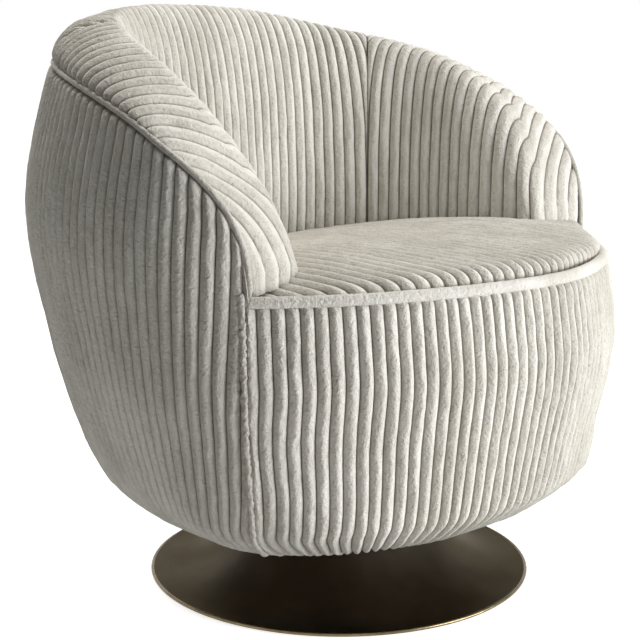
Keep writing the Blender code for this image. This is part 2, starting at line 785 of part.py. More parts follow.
def build_frame(wood, parent):
    bm = bmesh.new()
    board = [polar(a, plan_radius(a) * BOARD_SHARE, 0.0) for a in even_angles(0.0, 2.0 * math.pi, ROUND_STEPS)[:-1]]
    add_prism(bm, [(p.x, p.y) for p in board], BOARD_Z, BOARD_Z + BOARD_THICKNESS)
    item = make_object("bottom_board", bm, wood, parent=parent)
    cutter = bmesh.new()
    low, high = BOARD_Z - CUT_OVERRUN, BOARD_Z + BOARD_THICKNESS + CUT_OVERRUN
    add_post(cutter, ((BOARD_BORE, low), (BOARD_BORE, high)), TUBE_STEPS)
    for place in corners(UPPER_BOLT_OFFSET):
        add_post(cutter, ((BOLT_RADIUS + BOLT_CLEARANCE, low), (BOLT_RADIUS + BOLT_CLEARANCE, high)), HOLE_STEPS, place)
    cut(item, cutter, "board_holes")
    bm = bmesh.new()
    angles = even_angles(0.0, 2.0 * math.pi, RING_STEPS)[:-1]
    add_ring(bm, angles, ring_outer_radius, ring_opening_radius, RING_Z, RING_Z + RING_THICKNESS)
    make_object("seat_ring", bm, wood, parent=parent)
    bm = bmesh.new()
    rings = []
    angle_at = crest_angles(RAIL_START_ANGLE, 2.0 * math.pi - RAIL_START_ANGLE)[0]
    for angle in (angle_at(k / RAIL_STEPS) for k in range(RAIL_STEPS + 1)):
        inner, outer, low, high = rail_section(angle)
        rings.append([polar(angle, r, z) for r, z in ((inner, low), (outer, low), (outer, high), (inner, high))])
    add_loft(bm, rings)
    make_object("top_rail", bm, wood, parent=parent)
    for k, angle in enumerate(LOWER_RIB_ANGLES):
        build_rib(f"lower_rib_{k + 1}", angle, RIB_THICKNESS, False, wood, parent)
    for k, angle in enumerate(UPPER_RIB_ANGLES):
        build_rib(f"upper_rib_{k + 1}", angle, RIB_THICKNESS, True, wood, parent)
    build_rib("arm_post_left", POST_ANGLE, POST_WIDTH, True, wood, parent)
    build_rib("arm_post_right", 2.0 * math.pi - POST_ANGLE, POST_WIDTH, True, wood, parent)


def build_suspension(steel, felt, parent):
    ring_top = RING_Z + RING_THICKNESS
    wire_z = ring_top + SEAT_GAP + SPRING_WIRE
    front = BODY_CENTRE_Y - ring_opening_radius(0.0) - SPRING_REACH
    back = BODY_CENTRE_Y + ring_opening_radius(math.pi) + SPRING_REACH
    span = SEAT_HALF_WIDTH - SPRING_MARGIN
    for k in range(SPRING_COUNT):
        x = mix(-span, span, k / (SPRING_COUNT - 1))
        path = []
        steps = SPRING_TURN_STEPS * SPRING_TURNS
        for j in range(steps + 1):
            turn = 2.0 * math.pi * SPRING_TURNS * j / steps
            path.append(Vector((x + SPRING_WAVE * math.sin(turn), mix(front, back, j / steps), wire_z)))
        bm = bmesh.new()
        add_tube(bm, path, SPRING_WIRE, SPRING_SIDES)
        make_object(f"seat_spring_{k + 1}", bm, steel, smooth=True, parent=parent)
    half = span + CLIP_WIDTH
    lip_z = wire_z + SPRING_WIRE + SEAT_GAP
    for name, edge, way in (("spring_clip_front", front, 1.0), ("spring_clip_back", back, -1.0)):
        web = edge - way * (SPRING_WIRE + SEAT_GAP)
        lip, heel = web + way * CLIP_REACH, web - way * CLIP_THICKNESS
        outline = ((web, ring_top + SEAT_GAP), (web, lip_z), (lip, lip_z), (lip, lip_z + CLIP_THICKNESS),
                   (heel, lip_z + CLIP_THICKNESS), (heel, ring_top + SEAT_GAP))
        bm = bmesh.new()
        add_loft(bm, [[Vector((x, y, z)) for y, z in outline] for x in (-half, half)])
        make_object(name, bm, steel, parent=parent)
    bm = bmesh.new()
    low = lip_z + CLIP_THICKNESS + SEAT_GAP
    outline = [polar(a, ring_opening_radius(a) + DECK_MARGIN, 0.0)
               for a in (2.0 * math.pi * k / ROUND_STEPS for k in range(ROUND_STEPS))]
    add_prism(bm, [(p.x, p.y) for p in outline], low, low + DECK_THICKNESS)
    make_object("seat_deck", bm, felt, parent=parent)


# Pedestal
def corners(offset):
    return [(sx * offset, sy * offset) for sx in (-1.0, 1.0) for sy in (-1.0, 1.0)]


def lower_plate_z():
    return FLANGE_Z + SEAT_GAP


def upper_plate_z():
    return lower_plate_z() + PLATE_THICKNESS + PLATE_SPACING


def trumpet_curve(steps=TRUMPET_STEPS):
    """(radius, z) points of the pedestal's visible curve, from the rim to the flange."""
    rim_z = RIM_GAP + 2.0 * RIM_BEAD
    points = []
    for k in range(1, steps + 1):
        share = k / steps
        radius = mix(RIM_RADIUS - RIM_BEAD, FLANGE_RADIUS, share)
        points.append((radius, rim_z + (FLANGE_Z - rim_z) * share**TRUMPET_POWER))
    return points


def build_pedestal(bronze, steel, rubber):
    bm = bmesh.new()
    add_post(bm, ((BASE_PLATE_RADIUS, 0.0), (BASE_PLATE_RADIUS, FLOOR_PAD_THICKNESS)), ROUND_STEPS)
    make_object("floor_pad", bm, rubber)
    plate_z = FLOOR_PAD_THICKNESS + SEAT_GAP
    bm = bmesh.new()
    add_post(bm, ((BASE_PLATE_RADIUS, plate_z), (BASE_PLATE_RADIUS, plate_z + BASE_PLATE_THICKNESS)), ROUND_STEPS)
    make_object("base_plate", bm, steel)

    column_z = plate_z + BASE_PLATE_THICKNESS + SEAT_GAP
    top_z = FLANGE_Z - COVER_THICKNESS - SEAT_GAP
    bore = COLUMN_RADIUS - COLUMN_WALL
    bm = bmesh.new()
    add_turned(bm, (
        (bore, column_z), (COLUMN_RADIUS + COLUMN_WALL, column_z), (COLUMN_RADIUS, column_z + COLUMN_WALL),
        (COLUMN_RADIUS, top_z - COLUMN_FLANGE_THICKNESS), (COLUMN_FLANGE_RADIUS, top_z - COLUMN_FLANGE_THICKNESS),
        (COLUMN_FLANGE_RADIUS, top_z), (bore, top_z)), TUBE_STEPS)
    column = make_object("base_column", bm, steel, smooth=True)

    outer = [(RIM_RADIUS - RIM_BEAD, RIM_GAP), (RIM_RADIUS, RIM_GAP + RIM_BEAD),
             (RIM_RADIUS - RIM_BEAD, RIM_GAP + 2.0 * RIM_BEAD)] + trumpet_curve() + [(FLANGE_BORE, FLANGE_Z)]
    inner = []
    for k in range(2, len(outer) - 2, 2):
        (r0, z0), (r1, z1) = outer[k - 1], outer[k + 1]
        length = math.hypot(r1 - r0, z1 - z0)
        r, z = outer[k]
        inner.append((r - (z1 - z0) / length * COVER_THICKNESS, z + (r1 - r0) / length * COVER_THICKNESS))
    inner.append((FLANGE_RADIUS - COVER_THICKNESS, FLANGE_Z - COVER_THICKNESS))
    inner.append((FLANGE_BORE, FLANGE_Z - COVER_THICKNESS))
    bm = bmesh.new()
    add_turned(bm, outer + list(reversed(inner)))
    cover = make_object("base_cover", bm, bronze, smooth=True)
    for item, name in ((column, "column_bolt_holes"), (cover, "cover_bolt_holes")):
        cutter = bmesh.new()
        for place in corners(LOWER_BOLT_OFFSET):
            add_post(cutter, ((BOLT_RADIUS + BOLT_CLEARANCE, top_z - CUT_OVERRUN),
                              (BOLT_RADIUS + BOLT_CLEARANCE, FLANGE_Z + CUT_OVERRUN)), HOLE_STEPS, place)
        cut(item, cutter, name)


# Ball-bearing swivel
def swivel_plate(name, side, low_z, bolt_offset, race_z, material, parent):
    bm = bmesh.new()
    add_prism(bm, rounded_square(side, PLATE_CORNER), low_z, low_z + PLATE_THICKNESS)
    item = make_object(name, bm, material, parent=parent)
    low, high = low_z - CUT_OVERRUN, low_z + PLATE_THICKNESS + CUT_OVERRUN
    cutter = bmesh.new()
    add_post(cutter, ((PLATE_BORE, low), (PLATE_BORE, high)), PIN_STEPS)
    for place in corners(bolt_offset):
        add_post(cutter, ((BOLT_RADIUS + BOLT_CLEARANCE, low), (BOLT_RADIUS + BOLT_CLEARANCE, high)), HOLE_STEPS, place)
    cut(item, cutter, name + "_holes")
    cutter = bmesh.new()
    groove = BALL_RADIUS + BALL_GAP
    turns = [2.0 * math.pi * (k + 0.5) / GROOVE_SIDES for k in range(GROOVE_SIDES)]
    section = [(RACE_RADIUS + groove * math.cos(t), race_z + groove * math.sin(t)) for t in turns]
    add_turned(cutter, section, RACE_STEPS)
    cut(item, cutter, name + "_race")


def build_screw(name, place, seat_z, way, length, material, parent):
    """A screw whose head rests at seat_z; way is 1 where the head is above its seat, -1 where below."""
    flat = BOLT_HEAD_RADIUS - BOLT_HEAD_HEIGHT * BOLT_CHAMFER_SHARE
    head = seat_z + way * (SEAT_GAP + BOLT_HEAD_HEIGHT)
    rest = seat_z + way * SEAT_GAP
    profile = ((flat, head), (BOLT_HEAD_RADIUS, mix(head, seat_z, BOLT_SHOULDER_SHARE)), (BOLT_HEAD_RADIUS, rest),
               (BOLT_RADIUS, rest), (BOLT_RADIUS, seat_z - way * length))
    bm = bmesh.new()
    add_post(bm, profile, SCREW_STEPS, place)
    make_object(name, bm, material, smooth=True, parent=parent)


def build_swivel(steel, zinc, swivel, cage_axis):
    low_z, high_z = lower_plate_z(), upper_plate_z()
    race_z = low_z + PLATE_THICKNESS + PLATE_SPACING / 2.0
    swivel_plate("lower_swivel_plate", LOWER_PLATE_SIDE, low_z, LOWER_BOLT_OFFSET, race_z, steel, None)
    swivel_plate("upper_swivel_plate", UPPER_PLATE_SIDE, high_z, UPPER_BOLT_OFFSET, race_z, steel, swivel)

    bm = bmesh.new()
    half = CAGE_THICKNESS / 2.0
    inner, outer = RACE_RADIUS - CAGE_WIDTH / 2.0, RACE_RADIUS + CAGE_WIDTH / 2.0
    section = ((inner, race_z - half), (outer, race_z - half), (outer, race_z + half), (inner, race_z + half))
    add_turned(bm, section, RACE_STEPS)
    cage = make_object("ball_cage", bm, zinc, parent=cage_axis)
    cutter = bmesh.new()
    for k in range(BALL_COUNT):
        turn = 2.0 * math.pi * k / BALL_COUNT
        place = (RACE_RADIUS * math.cos(turn), RACE_RADIUS * math.sin(turn))
        hole = BALL_RADIUS + 2.0 * BALL_GAP
        add_post(cutter, ((hole, race_z - CUT_OVERRUN), (hole, race_z + CUT_OVERRUN)), POCKET_STEPS, place)
        bm = bmesh.new()
        bmesh.ops.create_icosphere(bm, subdivisions=2, radius=BALL_RADIUS,
                                   matrix=Matrix.Translation((*place, race_z)))
        make_object(f"bearing_ball_{k + 1}", bm, steel, smooth=True, parent=cage_axis)
    cut(cage, cutter, "cage_pockets")

    top_z = high_z + PLATE_THICKNESS + SEAT_GAP
    bottom_z = low_z - SEAT_GAP
    chamfer = PIN_HEAD_HEIGHT * PIN_CHAMFER_SHARE
    bm = bmesh.new()
    foot, crown = bottom_z - PIN_HEAD_HEIGHT, top_z + PIN_HEAD_HEIGHT
    add_post(bm, (
        (PIN_HEAD_RADIUS - chamfer, foot), (PIN_HEAD_RADIUS, foot + chamfer), (PIN_HEAD_RADIUS, bottom_z),
        (PIN_RADIUS, bottom_z), (PIN_RADIUS, top_z), (PIN_HEAD_RADIUS, top_z),
        (PIN_HEAD_RADIUS, crown - chamfer), (PIN_HEAD_RADIUS - chamfer, crown)), PIN_STEPS)
    make_object("centre_pin", bm, steel, smooth=True)

    for k, place in enumerate(corners(LOWER_BOLT_OFFSET)):
        build_screw(f"base_bolt_{k + 1}", place, low_z + PLATE_THICKNESS, 1.0, LOWER_BOLT_LENGTH, zinc, None)
    for k, place in enumerate(corners(UPPER_BOLT_OFFSET)):
        build_screw(f"seat_bolt_{k + 1}", place, high_z, -1.0, UPPER_BOLT_LENGTH, zinc, swivel)


def main():
    clear_scene()
    fabric = make_material("cream_corduroy", (0.66, 0.62, 0.55), 0.95)
    bronze = make_material("antique_bronze", (0.16, 0.13, 0.09), 0.28, 1.0)
    steel = make_material("plain_steel", (0.45, 0.45, 0.46), 0.4, 1.0)
    zinc = make_material("zinc_plate", (0.62, 0.62, 0.60), 0.35, 1.0)
    wood = make_material("birch_plywood", (0.62, 0.47, 0.30), 0.7)
    felt = make_material("grey_felt", (0.22, 0.22, 0.22), 1.0)
    rubber = make_material("black_rubber", (0.03, 0.03, 0.03), 0.9)

    swivel = bpy.data.objects.new("swivel_axis", None)
    cage_axis = bpy.data.objects.new("cage_axis", None)
    for axis in (swivel, cage_axis):
        bpy.context.scene.collection.objects.link(axis)

    build_pedestal(bronze, steel, rubber)
    build_swivel(steel, zinc, swivel, cage_axis)
    build_frame(wood, swivel)
    build_suspension(steel, felt, swivel)
    build_cushion(fabric, swivel)
    build_covers(fabric, swivel)
    build_pads(fabric, swivel)
    build_piping(fabric, swivel)


main()
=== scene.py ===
"""Swivel tub armchair in cream jumbo corduroy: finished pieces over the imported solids.

Metres, +Z up, the chair faces -Y. Left and right are as the photograph shows them, so left is -X. Angles round
the body run from the front (0) by the left side to the back (pi).
"""
import json
import math

import bmesh
import bpy
import numpy as np
from mathutils import Matrix, Vector
from mathutils.kdtree import KDTree


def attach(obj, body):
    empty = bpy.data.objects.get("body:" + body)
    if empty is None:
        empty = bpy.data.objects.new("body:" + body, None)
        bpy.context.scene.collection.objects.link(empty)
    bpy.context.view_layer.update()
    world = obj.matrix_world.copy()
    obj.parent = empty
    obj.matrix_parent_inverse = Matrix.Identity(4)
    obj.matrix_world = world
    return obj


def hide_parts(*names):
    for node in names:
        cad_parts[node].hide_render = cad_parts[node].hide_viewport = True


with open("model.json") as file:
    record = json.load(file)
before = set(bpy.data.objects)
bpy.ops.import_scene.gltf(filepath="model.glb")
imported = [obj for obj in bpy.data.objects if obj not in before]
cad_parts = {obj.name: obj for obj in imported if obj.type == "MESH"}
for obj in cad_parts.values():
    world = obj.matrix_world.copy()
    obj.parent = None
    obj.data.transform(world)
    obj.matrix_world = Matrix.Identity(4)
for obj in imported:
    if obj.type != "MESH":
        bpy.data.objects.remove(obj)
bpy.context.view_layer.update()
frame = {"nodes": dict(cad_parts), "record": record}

PI = math.pi

# The body's outline: as in the part's source, but fuller near the underside
HALF_WIDTH, FRONT_DEPTH, BACK_DEPTH, BODY_CENTRE_Y = 0.405, 0.270, 0.407, -0.0605
FRONT_SQUARENESS, BACK_SQUARENESS = 1.65, 2.27
UNDERSIDE_Z, PIPING_Z, BACK_SEAM_Z, CREST_Z = 0.102, 0.410, 0.659, 0.720
CORNER_ANGLE, V_SEAM_ANGLE = math.radians(75.0), math.radians(129.0)
# Shares of the plan's radius by share of the height
SIDE_PROFILE = ((0.0, 0.668), (0.10, 0.812), (0.208, 0.877), (0.422, 0.952), (0.671, 1.0), (1.03, 0.906),
                (1.2, 0.86))
FRONT_PROFILE = ((0.0, 0.700), (0.10, 0.924), (0.208, 0.972), (0.387, 1.020), (0.553, 0.994), (0.671, 0.985),
                 (1.2, 0.85))
BLEND_FROM, BLEND_TO = math.radians(55.0), math.radians(110.0)
TUCK_SHARE, CREST_POWER, SEAM_POWER = 0.575, 2.21, 2.53
ROLL_FRONT_WIDTH, ROLL_BACK_WIDTH, ROLL_REACH, LEAN_SHARE = 0.085, 0.060, 0.060, 0.35
SEAT_HALF_WIDTH, SEAT_BACK_DEPTH, SEAT_SQUARENESS = 0.250, 0.250, 3.2
# The filled crest's height above the plain one, by degrees
CREST_LIFT = ((75.0, 0.0), (100.0, 0.002), (129.0, 0.003), (155.0, 0.005), (195.0, 0.005), (215.0, -0.001),
              (230.0, -0.005), (250.0, 0.002), (270.0, 0.007), (285.0, 0.0))
# The corner seams by height: they lean back towards the underside
SEAM_LEAN = ((0.102, 80.5), (0.138, 78.6), (0.18, 76.8), (0.23, 76.1), (0.32, 75.6), (0.41, 76.1))
# The right front is pinched in at the piping, and bellies out and sags below: the amount, the degrees over
# which it comes and goes, and the heights
PINCH, PINCH_RISE, PINCH_FALL, PINCH_HEIGHTS = 0.032, (-76.0, -62.0), (-56.0, -36.0), (0.375, 0.41)
BELLY, BELLY_RISE, BELLY_FALL, BELLY_HEIGHTS = 0.030, (-120.0, -75.0), (-35.0, 0.0), (0.13, 0.21)
SAG, SAG_RISE, SAG_FALL = 0.006, (-120.0, -60.0), (10.0, 60.0)

# Corduroy
WALE_PITCH, FRONT_PITCH, NOSE_PITCH, CUSHION_PITCH, WALE_DEPTH = 0.0151, 0.0195, 0.0260, 0.0156, 0.0054
WALE_STEPS = np.array((0.0, 0.045, 0.14, 0.27, 0.40, 0.5, 0.60, 0.73, 0.86, 0.955))
LOBE, SEAM_DROP, SEAM_REACH = 0.009, 0.0026, 0.014
WELT_RADIUS, CORD_RADIUS, GAP = 0.0075, 0.0032, 0.0015
# A wale's section is pointed where its pile parts, and elsewhere round
ROUND_POWER, PARTED_POWER, PARTED_SHARE, PARTED_SPREAD, PARTED_CELL = 2.2, 0.52, 0.32, 0.24, 0.045
WALE_SPREAD, DENT, DENT_CELL, TUFT, TUFT_CELL = 0.06, 0.0006, 0.022, 0.00035, 0.0075

# Cloth simulation, and carrying it over to the wales
VOXEL, WRAP_VOXEL, DRAWN_IN, SHIFT_CAP, FRAMES = 0.006, 0.008, 0.003, 0.006, 20
SKIN, NEAREST, SPREAD, BLURS, SEAM_FADE = 0.022, 12, 0.012, 40, 0.030


# Curves, on arrays
def smooth_through(knots, x):
    """A smooth curve through (x, y) knots that never overshoots them."""
    kx, ky = np.array(knots).T
    slope = np.diff(ky) / np.diff(kx)
    before, after = slope[:-1], slope[1:]
    total = np.where(before * after > 0.0, before + after, 1.0)
    inner = np.where(before * after > 0.0, 2.0 * before * after / total, 0.0)
    tangent = np.concatenate((slope[:1], inner, slope[-1:]))
    x = np.clip(x, kx[0], kx[-1])
    k = np.clip(np.searchsorted(kx, x, "right") - 1, 0, len(slope) - 1)
    span = kx[k + 1] - kx[k]
    s = (x - kx[k]) / span
    rise = (2 * s**3 - 3 * s**2 + 1) * ky[k] + (3 * s**2 - 2 * s**3) * ky[k + 1]
    return rise + span * ((s**3 - 2 * s**2 + s) * tangent[k] + (s**3 - s**2) * tangent[k + 1])


def unit(x):
    """Kept between 0 and 1."""
    return np.clip(x, 0.0, 1.0)


def ease(low, high, x):
    """0 up to the low value, 1 from the high one, smooth in between."""
    s = unit((x - low) / (high - low))
    return s * s * (3.0 - 2.0 * s)


def mix(a, b, share):
    return a + (b - a) * share


def lobe(distance, reach=LOBE):
    """0 at a seam, rising like a quarter circle to 1 at the reach."""
    return np.sqrt(unit(1.0 - (1.0 - unit(distance / reach)) ** 2))


def fold(angle):
    """How far an angle is from the front, on either side."""
    return np.arccos(np.clip(np.cos(angle), -1.0, 1.0))


def signed_degrees(angle):
    """Degrees from the front: to 180 on the left, to -180 on the right."""
    return (np.degrees(angle) + 180.0) % 360.0 - 180.0


def plan_radius(angle):
    """The plan: half of one squarish oval in front and of another behind."""
    ahead = np.cos(angle)
    depth = np.where(ahead > 0.0, FRONT_DEPTH, BACK_DEPTH)
    power = np.where(ahead > 0.0, FRONT_SQUARENESS, BACK_SQUARENESS)
    return (np.abs(np.sin(angle) / HALF_WIDTH) ** power + np.abs(ahead / depth) ** power) ** (-1.0 / power)


def outline_radius(angle, z):
    share = (z - UNDERSIDE_Z) / (BACK_SEAM_Z - UNDERSIDE_Z)
    side, front = smooth_through(SIDE_PROFILE, share), smooth_through(FRONT_PROFILE, share)
    turn = signed_degrees(angle)
    pinch = PINCH * ease(*PINCH_RISE, turn) * (1.0 - ease(*PINCH_FALL, turn)) * ease(*PINCH_HEIGHTS, z)
    belly = BELLY * ease(*BELLY_RISE, turn) * (1.0 - ease(*BELLY_FALL, turn)) * (1.0 - ease(*BELLY_HEIGHTS, z))
    blend = ease(BLEND_FROM, BLEND_TO, fold(angle))
    return plan_radius(angle) * mix(front, side, blend) * (1.0 - (pinch - belly))


def polar(angle, radius, z):
    """Points round the body's upright axis."""
    angle, radius, z = np.broadcast_arrays(angle, radius, z)
    return np.stack((-radius * np.sin(angle), BODY_CENTRE_Y - radius * np.cos(angle), z), axis=-1)


def swept(angle, power):
    """1 at the middle of the back, falling to 0 at the front corners."""
    share = unit((PI - fold(angle)) / (PI - CORNER_ANGLE))
    return unit(1.0 - share**power) ** (1.0 / power)


def crest_z(angle):
    return PIPING_Z + (CREST_Z - PIPING_Z) * swept(angle, CREST_POWER)


def seam_z(angle):
    return PIPING_Z + (BACK_SEAM_Z - PIPING_Z) * swept(angle, SEAM_POWER)


def seat_radius(angle):
    side = np.abs(np.sin(angle)) / SEAT_HALF_WIDTH
    back = np.where(np.cos(angle) > 0.0, 0.0, np.abs(np.cos(angle))) / SEAT_BACK_DEPTH
    return (side**SEAT_SQUARENESS + back**SEAT_SQUARENESS) ** (-1.0 / SEAT_SQUARENESS)


def norm(vectors):
    return np.linalg.norm(vectors, axis=-1, keepdims=True)


def facing(normal, outward):
    """The normals, turned to the side of the outward hints."""
    return normal * np.where((normal * outward).sum(-1, keepdims=True) < 0.0, -1.0, 1.0)


def run_length(points, axis=0):
    """Length along a line of points, from 0."""
    steps = np.linalg.norm(np.diff(points, axis=axis), axis=-1)
    first = np.zeros_like(np.take(steps, [0], axis=axis))
    return np.concatenate((first, np.cumsum(steps, axis=axis)), axis=axis)


# Seeded noise
def lattice(points, cell, seed):
    """Smooth value noise from -1 to 1 with features as large as the cell."""
    q = points / cell
    base = np.floor(q)
    f = q - base
    f = f * f * (3.0 - 2.0 * f)
    base = base.astype(np.int64)
    total = np.zeros(points.shape[:-1])
    for corner in range(8):
        step = np.array((corner & 1, corner >> 1 & 1, corner >> 2 & 1))
        n = base + step
        h = (n[..., 0] * 73856093) ^ (n[..., 1] * 19349663) ^ (n[..., 2] * 83492791) ^ (seed * 2654435761)
        h = (h ^ (h >> 13)) * 1274126177 & 0x7FFFFFFF
        h = (h ^ (h >> 16)) & 0xFFFF
        weight = np.prod(np.where(step, f, 1.0 - f), axis=-1)
        total += weight * (h / 32767.5 - 1.0)
    return total


def per_wale(wale, seed):
    """A steady random number from -1 to 1 for each wale."""
    n = np.floor(wale).astype(np.int64)
    h = ((n + 4096) * 1103515245 + seed * 12345) & 0x7FFFFFFF
    h = (h ^ (h >> 11)) * 69069 & 0x7FFFFFFF
    return (h & 0xFFFF) / 32767.5 - 1.0


# Meshes
def add_object(name, data):
    piece = bpy.data.objects.new(name, data)
    bpy.context.scene.collection.objects.link(piece)
    return piece


def evaluated(piece):
    return piece.evaluated_get(bpy.context.evaluated_depsgraph_get())


def store(mesh, name, values):
    """Keeps a number at each point."""
    layer = mesh.attributes.new(name, "FLOAT", "POINT")
    layer.data.foreach_set("value", np.ascontiguousarray(values, dtype=np.float32).ravel())


def finish_mesh(name, points, faces, attributes, material, body):
    """One object from arrays, its doubles merged and its normals outwards."""
    mesh = bpy.data.meshes.new(name)
    mesh.from_pydata(points.reshape(-1, 3).tolist(), [], faces)
    for key, values in attributes.items():
        store(mesh, key, values)
    bm = bmesh.new()
    bm.from_mesh(mesh)
    bmesh.ops.remove_doubles(bm, verts=bm.verts, dist=0.00002)
    bmesh.ops.dissolve_degenerate(bm, edges=bm.edges, dist=0.00001)
    bmesh.ops.recalc_face_normals(bm, faces=bm.faces)
    bm.to_mesh(mesh)
    bm.free()
    mesh.shade_smooth()
    mesh.materials.append(material)
    piece = add_object(name, mesh)
    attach(piece, body)
    return piece


def grid_faces(index):
    """Faces between the neighbours in a grid of point numbers."""
    a, b, c, d = index[:-1, :-1], index[:-1, 1:], index[1:, 1:], index[1:, :-1]
    return np.stack((a, b, c, d), axis=-1).reshape(-1, 4).tolist()


def shell(face, back):
    """Points and faces of a closed solid from a fine grid of points and a plain one behind it."""
    rows, columns = face.shape[:2]
    front = np.arange(rows * columns).reshape(rows, columns)
    behind = rows * columns + np.arange(back.shape[0] * columns).reshape(back.shape[0], columns)
    faces = grid_faces(front) + grid_faces(behind)
    faces += grid_faces(np.stack((front[0], behind[0]))) + grid_faces(np.stack((front[-1], behind[-1])))
    for side in (0, -1):
        faces.append(front[:, side].tolist() + behind[::-1, side].tolist())
    return np.concatenate((face.reshape(-1, 3), back.reshape(-1, 3))), faces


def grid_normals(points, outward):
    """Unit normals of a grid of points, or the outward hints where it is drawn to a point."""
    normal = np.cross(np.gradient(points, axis=1), np.gradient(points, axis=0))
    length = norm(normal)
    hint = outward / np.maximum(norm(outward), 1e-9)
    return facing(np.where(length > 1e-12, normal / np.maximum(length, 1e-12), hint), outward)


def interp_rows(x, knots, values):
    """np.interp on each row of x; knots or values of one row serve them all."""
    knots, values = np.broadcast_arrays(knots, values)
    return np.stack([np.interp(*row) for row in zip(x, knots, values)])


def relief(wale, edge, points, seed):
    """How far the pile lies below its highest level: grooves between the wales, lobes at the seams."""
    s = np.abs(2.0 * (wale % 1.0) - 1.0)
    round_top = np.sqrt(unit(1.0 - s**ROUND_POWER))
    parted_top = unit(1.0 - s) ** PARTED_POWER
    parting = PARTED_SHARE + PARTED_SPREAD * lattice(points, PARTED_CELL, seed + 5)
    height = mix(round_top, parted_top, parting)
    height = height * (1.0 + WALE_SPREAD * per_wale(wale, seed) * np.sin(PI * (wale % 1.0)))
    soft = DENT * lattice(points, DENT_CELL, seed + 2) + TUFT * lattice(points, TUFT_CELL, seed + 3)
    drop = WALE_DEPTH * (1.0 - height * lobe(edge)) - height * soft
    # The second value is how high the pile stands; where it is low the corduroy paints the grooves and seam
    # edges with shade
    return drop + SEAM_DROP * (1.0 - unit(edge / SEAM_REACH)) ** 2, height * lobe(edge)


def wander(wale, along, seed):
    """Moves the middle of each wale from side to side along its length, and leaves the grooves in place."""
    whole = np.floor(wale)
    place = np.stack((along, whole * 0.37, whole * 0.0), axis=-1)
    drift = 0.11 * lattice(place, 0.034, seed + 7) + 0.07 * lattice(place, 0.013, seed + 8)
    groove = 0.03 * lattice(np.stack((along, whole * 0.0 + 9.0, whole * 0.0), axis=-1), 0.05, seed + 9)
    return wale + drift * np.sin(PI * (wale % 1.0)) + groove


def shade_side(wale, side=1.0):
    """Which side of its wale's crest a point lies on, from -1 to 1: the corduroy paints shade on the half above
    zero, and a side of -1 swaps the halves.
    """
    return side * (2.0 * (wale % 1.0) - 1.0)


def soft_copy(node):
    """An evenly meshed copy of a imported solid, and its points."""
    mesh = frame["nodes"][node].data.copy()
    mesh.transform(frame["nodes"][node].matrix_world)
    pad_copy = add_object("filling", mesh)
    remesh = pad_copy.modifiers.new("even", "REMESH")
    remesh.mode, remesh.voxel_size = "VOXEL", WRAP_VOXEL if node == "outer_wrap" else VOXEL
    even = bpy.data.meshes.new_from_object(evaluated(pad_copy))
    pad_copy.modifiers.clear()
    pad_copy.data = even
    return pad_copy, mesh_points(even)


def mesh_points(mesh):
    points = np.empty(len(mesh.vertices) * 3)
    mesh.vertices.foreach_get("co", points)
    return points.reshape(-1, 3)


def point_tree(points, numbers):
    """A search tree over some of the points."""
    tree = KDTree(len(numbers))
    for k in numbers:
        tree.insert(points[k], k)
    tree.balance()
    return tree


def simulate(pad_copy, start):
    """How far the pressure of the filling moves each point, up to the cap."""
    cloth = pad_copy.modifiers.new("filling", "CLOTH").settings
    cloth.quality, cloth.mass, cloth.vertex_group_mass = 4, 0.25, "held"
    cloth.tension_stiffness = cloth.compression_stiffness = 20.0
    cloth.use_pressure, cloth.uniform_pressure_force = True, 4.0
    cloth.effector_weights.gravity = 0.0
    for step in range(1, FRAMES + 1):
        bpy.context.scene.frame_set(step)
    shift = mesh_points(evaluated(pad_copy).data) - start
    bpy.data.objects.remove(pad_copy)
    bpy.context.scene.frame_set(1)
    return shift * np.minimum(1.0, SHIFT_CAP / np.maximum(norm(shift), 1e-9))


def stretch_grid(coarse, count):
    """The coarse grid's rows, drawn out to a larger count."""
    rows = np.linspace(0.0, coarse.shape[0] - 1.0, count)
    low = np.minimum(rows.astype(int), coarse.shape[0] - 2)
    return mix(coarse[low], coarse[low + 1], (rows - low)[:, None, None])


def puffed(node, face, normal, edge):
    """The face moved as a cloth simulation moves the plain pad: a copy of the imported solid, drawn in a
    little, is filled with pressure while its seams and underside are held. The mean shift is taken out."""
    pad_copy, rest = soft_copy(node)
    spots = face[::3, ::3].reshape(-1, 3)
    outward, room = normal[::3, ::3].reshape(-1, 3), edge[::3, ::3].ravel()
    tree = point_tree(spots, range(len(spots)))
    held = pad_copy.vertex_groups.new(name="held")
    start = rest.copy()
    free = []
    for k, point in enumerate(rest):
        _, n, far = tree.find(point)
        hold = 1.0 if far > SKIN else 1.0 - float(ease(0.006, 0.035, room[n]))
        held.add([k], hold, "REPLACE")
        start[k] -= outward[n] * DRAWN_IN * (1.0 - hold)
        if far <= SKIN:
            free.append(k)
    pad_copy.data.vertices.foreach_set("co", start.ravel())
    shift = simulate(pad_copy, start)
    tree = point_tree(rest, free)
    coarse = face[::2, ::3]
    carried = np.zeros(coarse.shape)
    for n in np.ndindex(coarse.shape[:2]):
        near = tree.find_n(coarse[n], NEAREST)
        weights = np.array([math.exp(-((far / SPREAD) ** 2)) + 1e-6 for _, _, far in near])
        carried[n] = (shift[[k for _, k, _ in near]] * weights[:, None]).sum(axis=0) / weights.sum()
    for _ in range(BLURS):
        carried[1:-1] = 0.25 * (carried[:-2] + 2.0 * carried[1:-1] + carried[2:])
        carried[:, 1:-1] = 0.25 * (carried[:, :-2] + 2.0 * carried[:, 1:-1] + carried[:, 2:])
    carried = stretch_grid(carried, face.shape[0])
    carried = stretch_grid(carried.swapaxes(0, 1), face.shape[1]).swapaxes(0, 1)
    fade = ease(0.0, SEAM_FADE, edge)
    swell = (carried * normal).sum(-1) * fade
    return face + normal * (swell - swell.mean() * fade)[..., None]


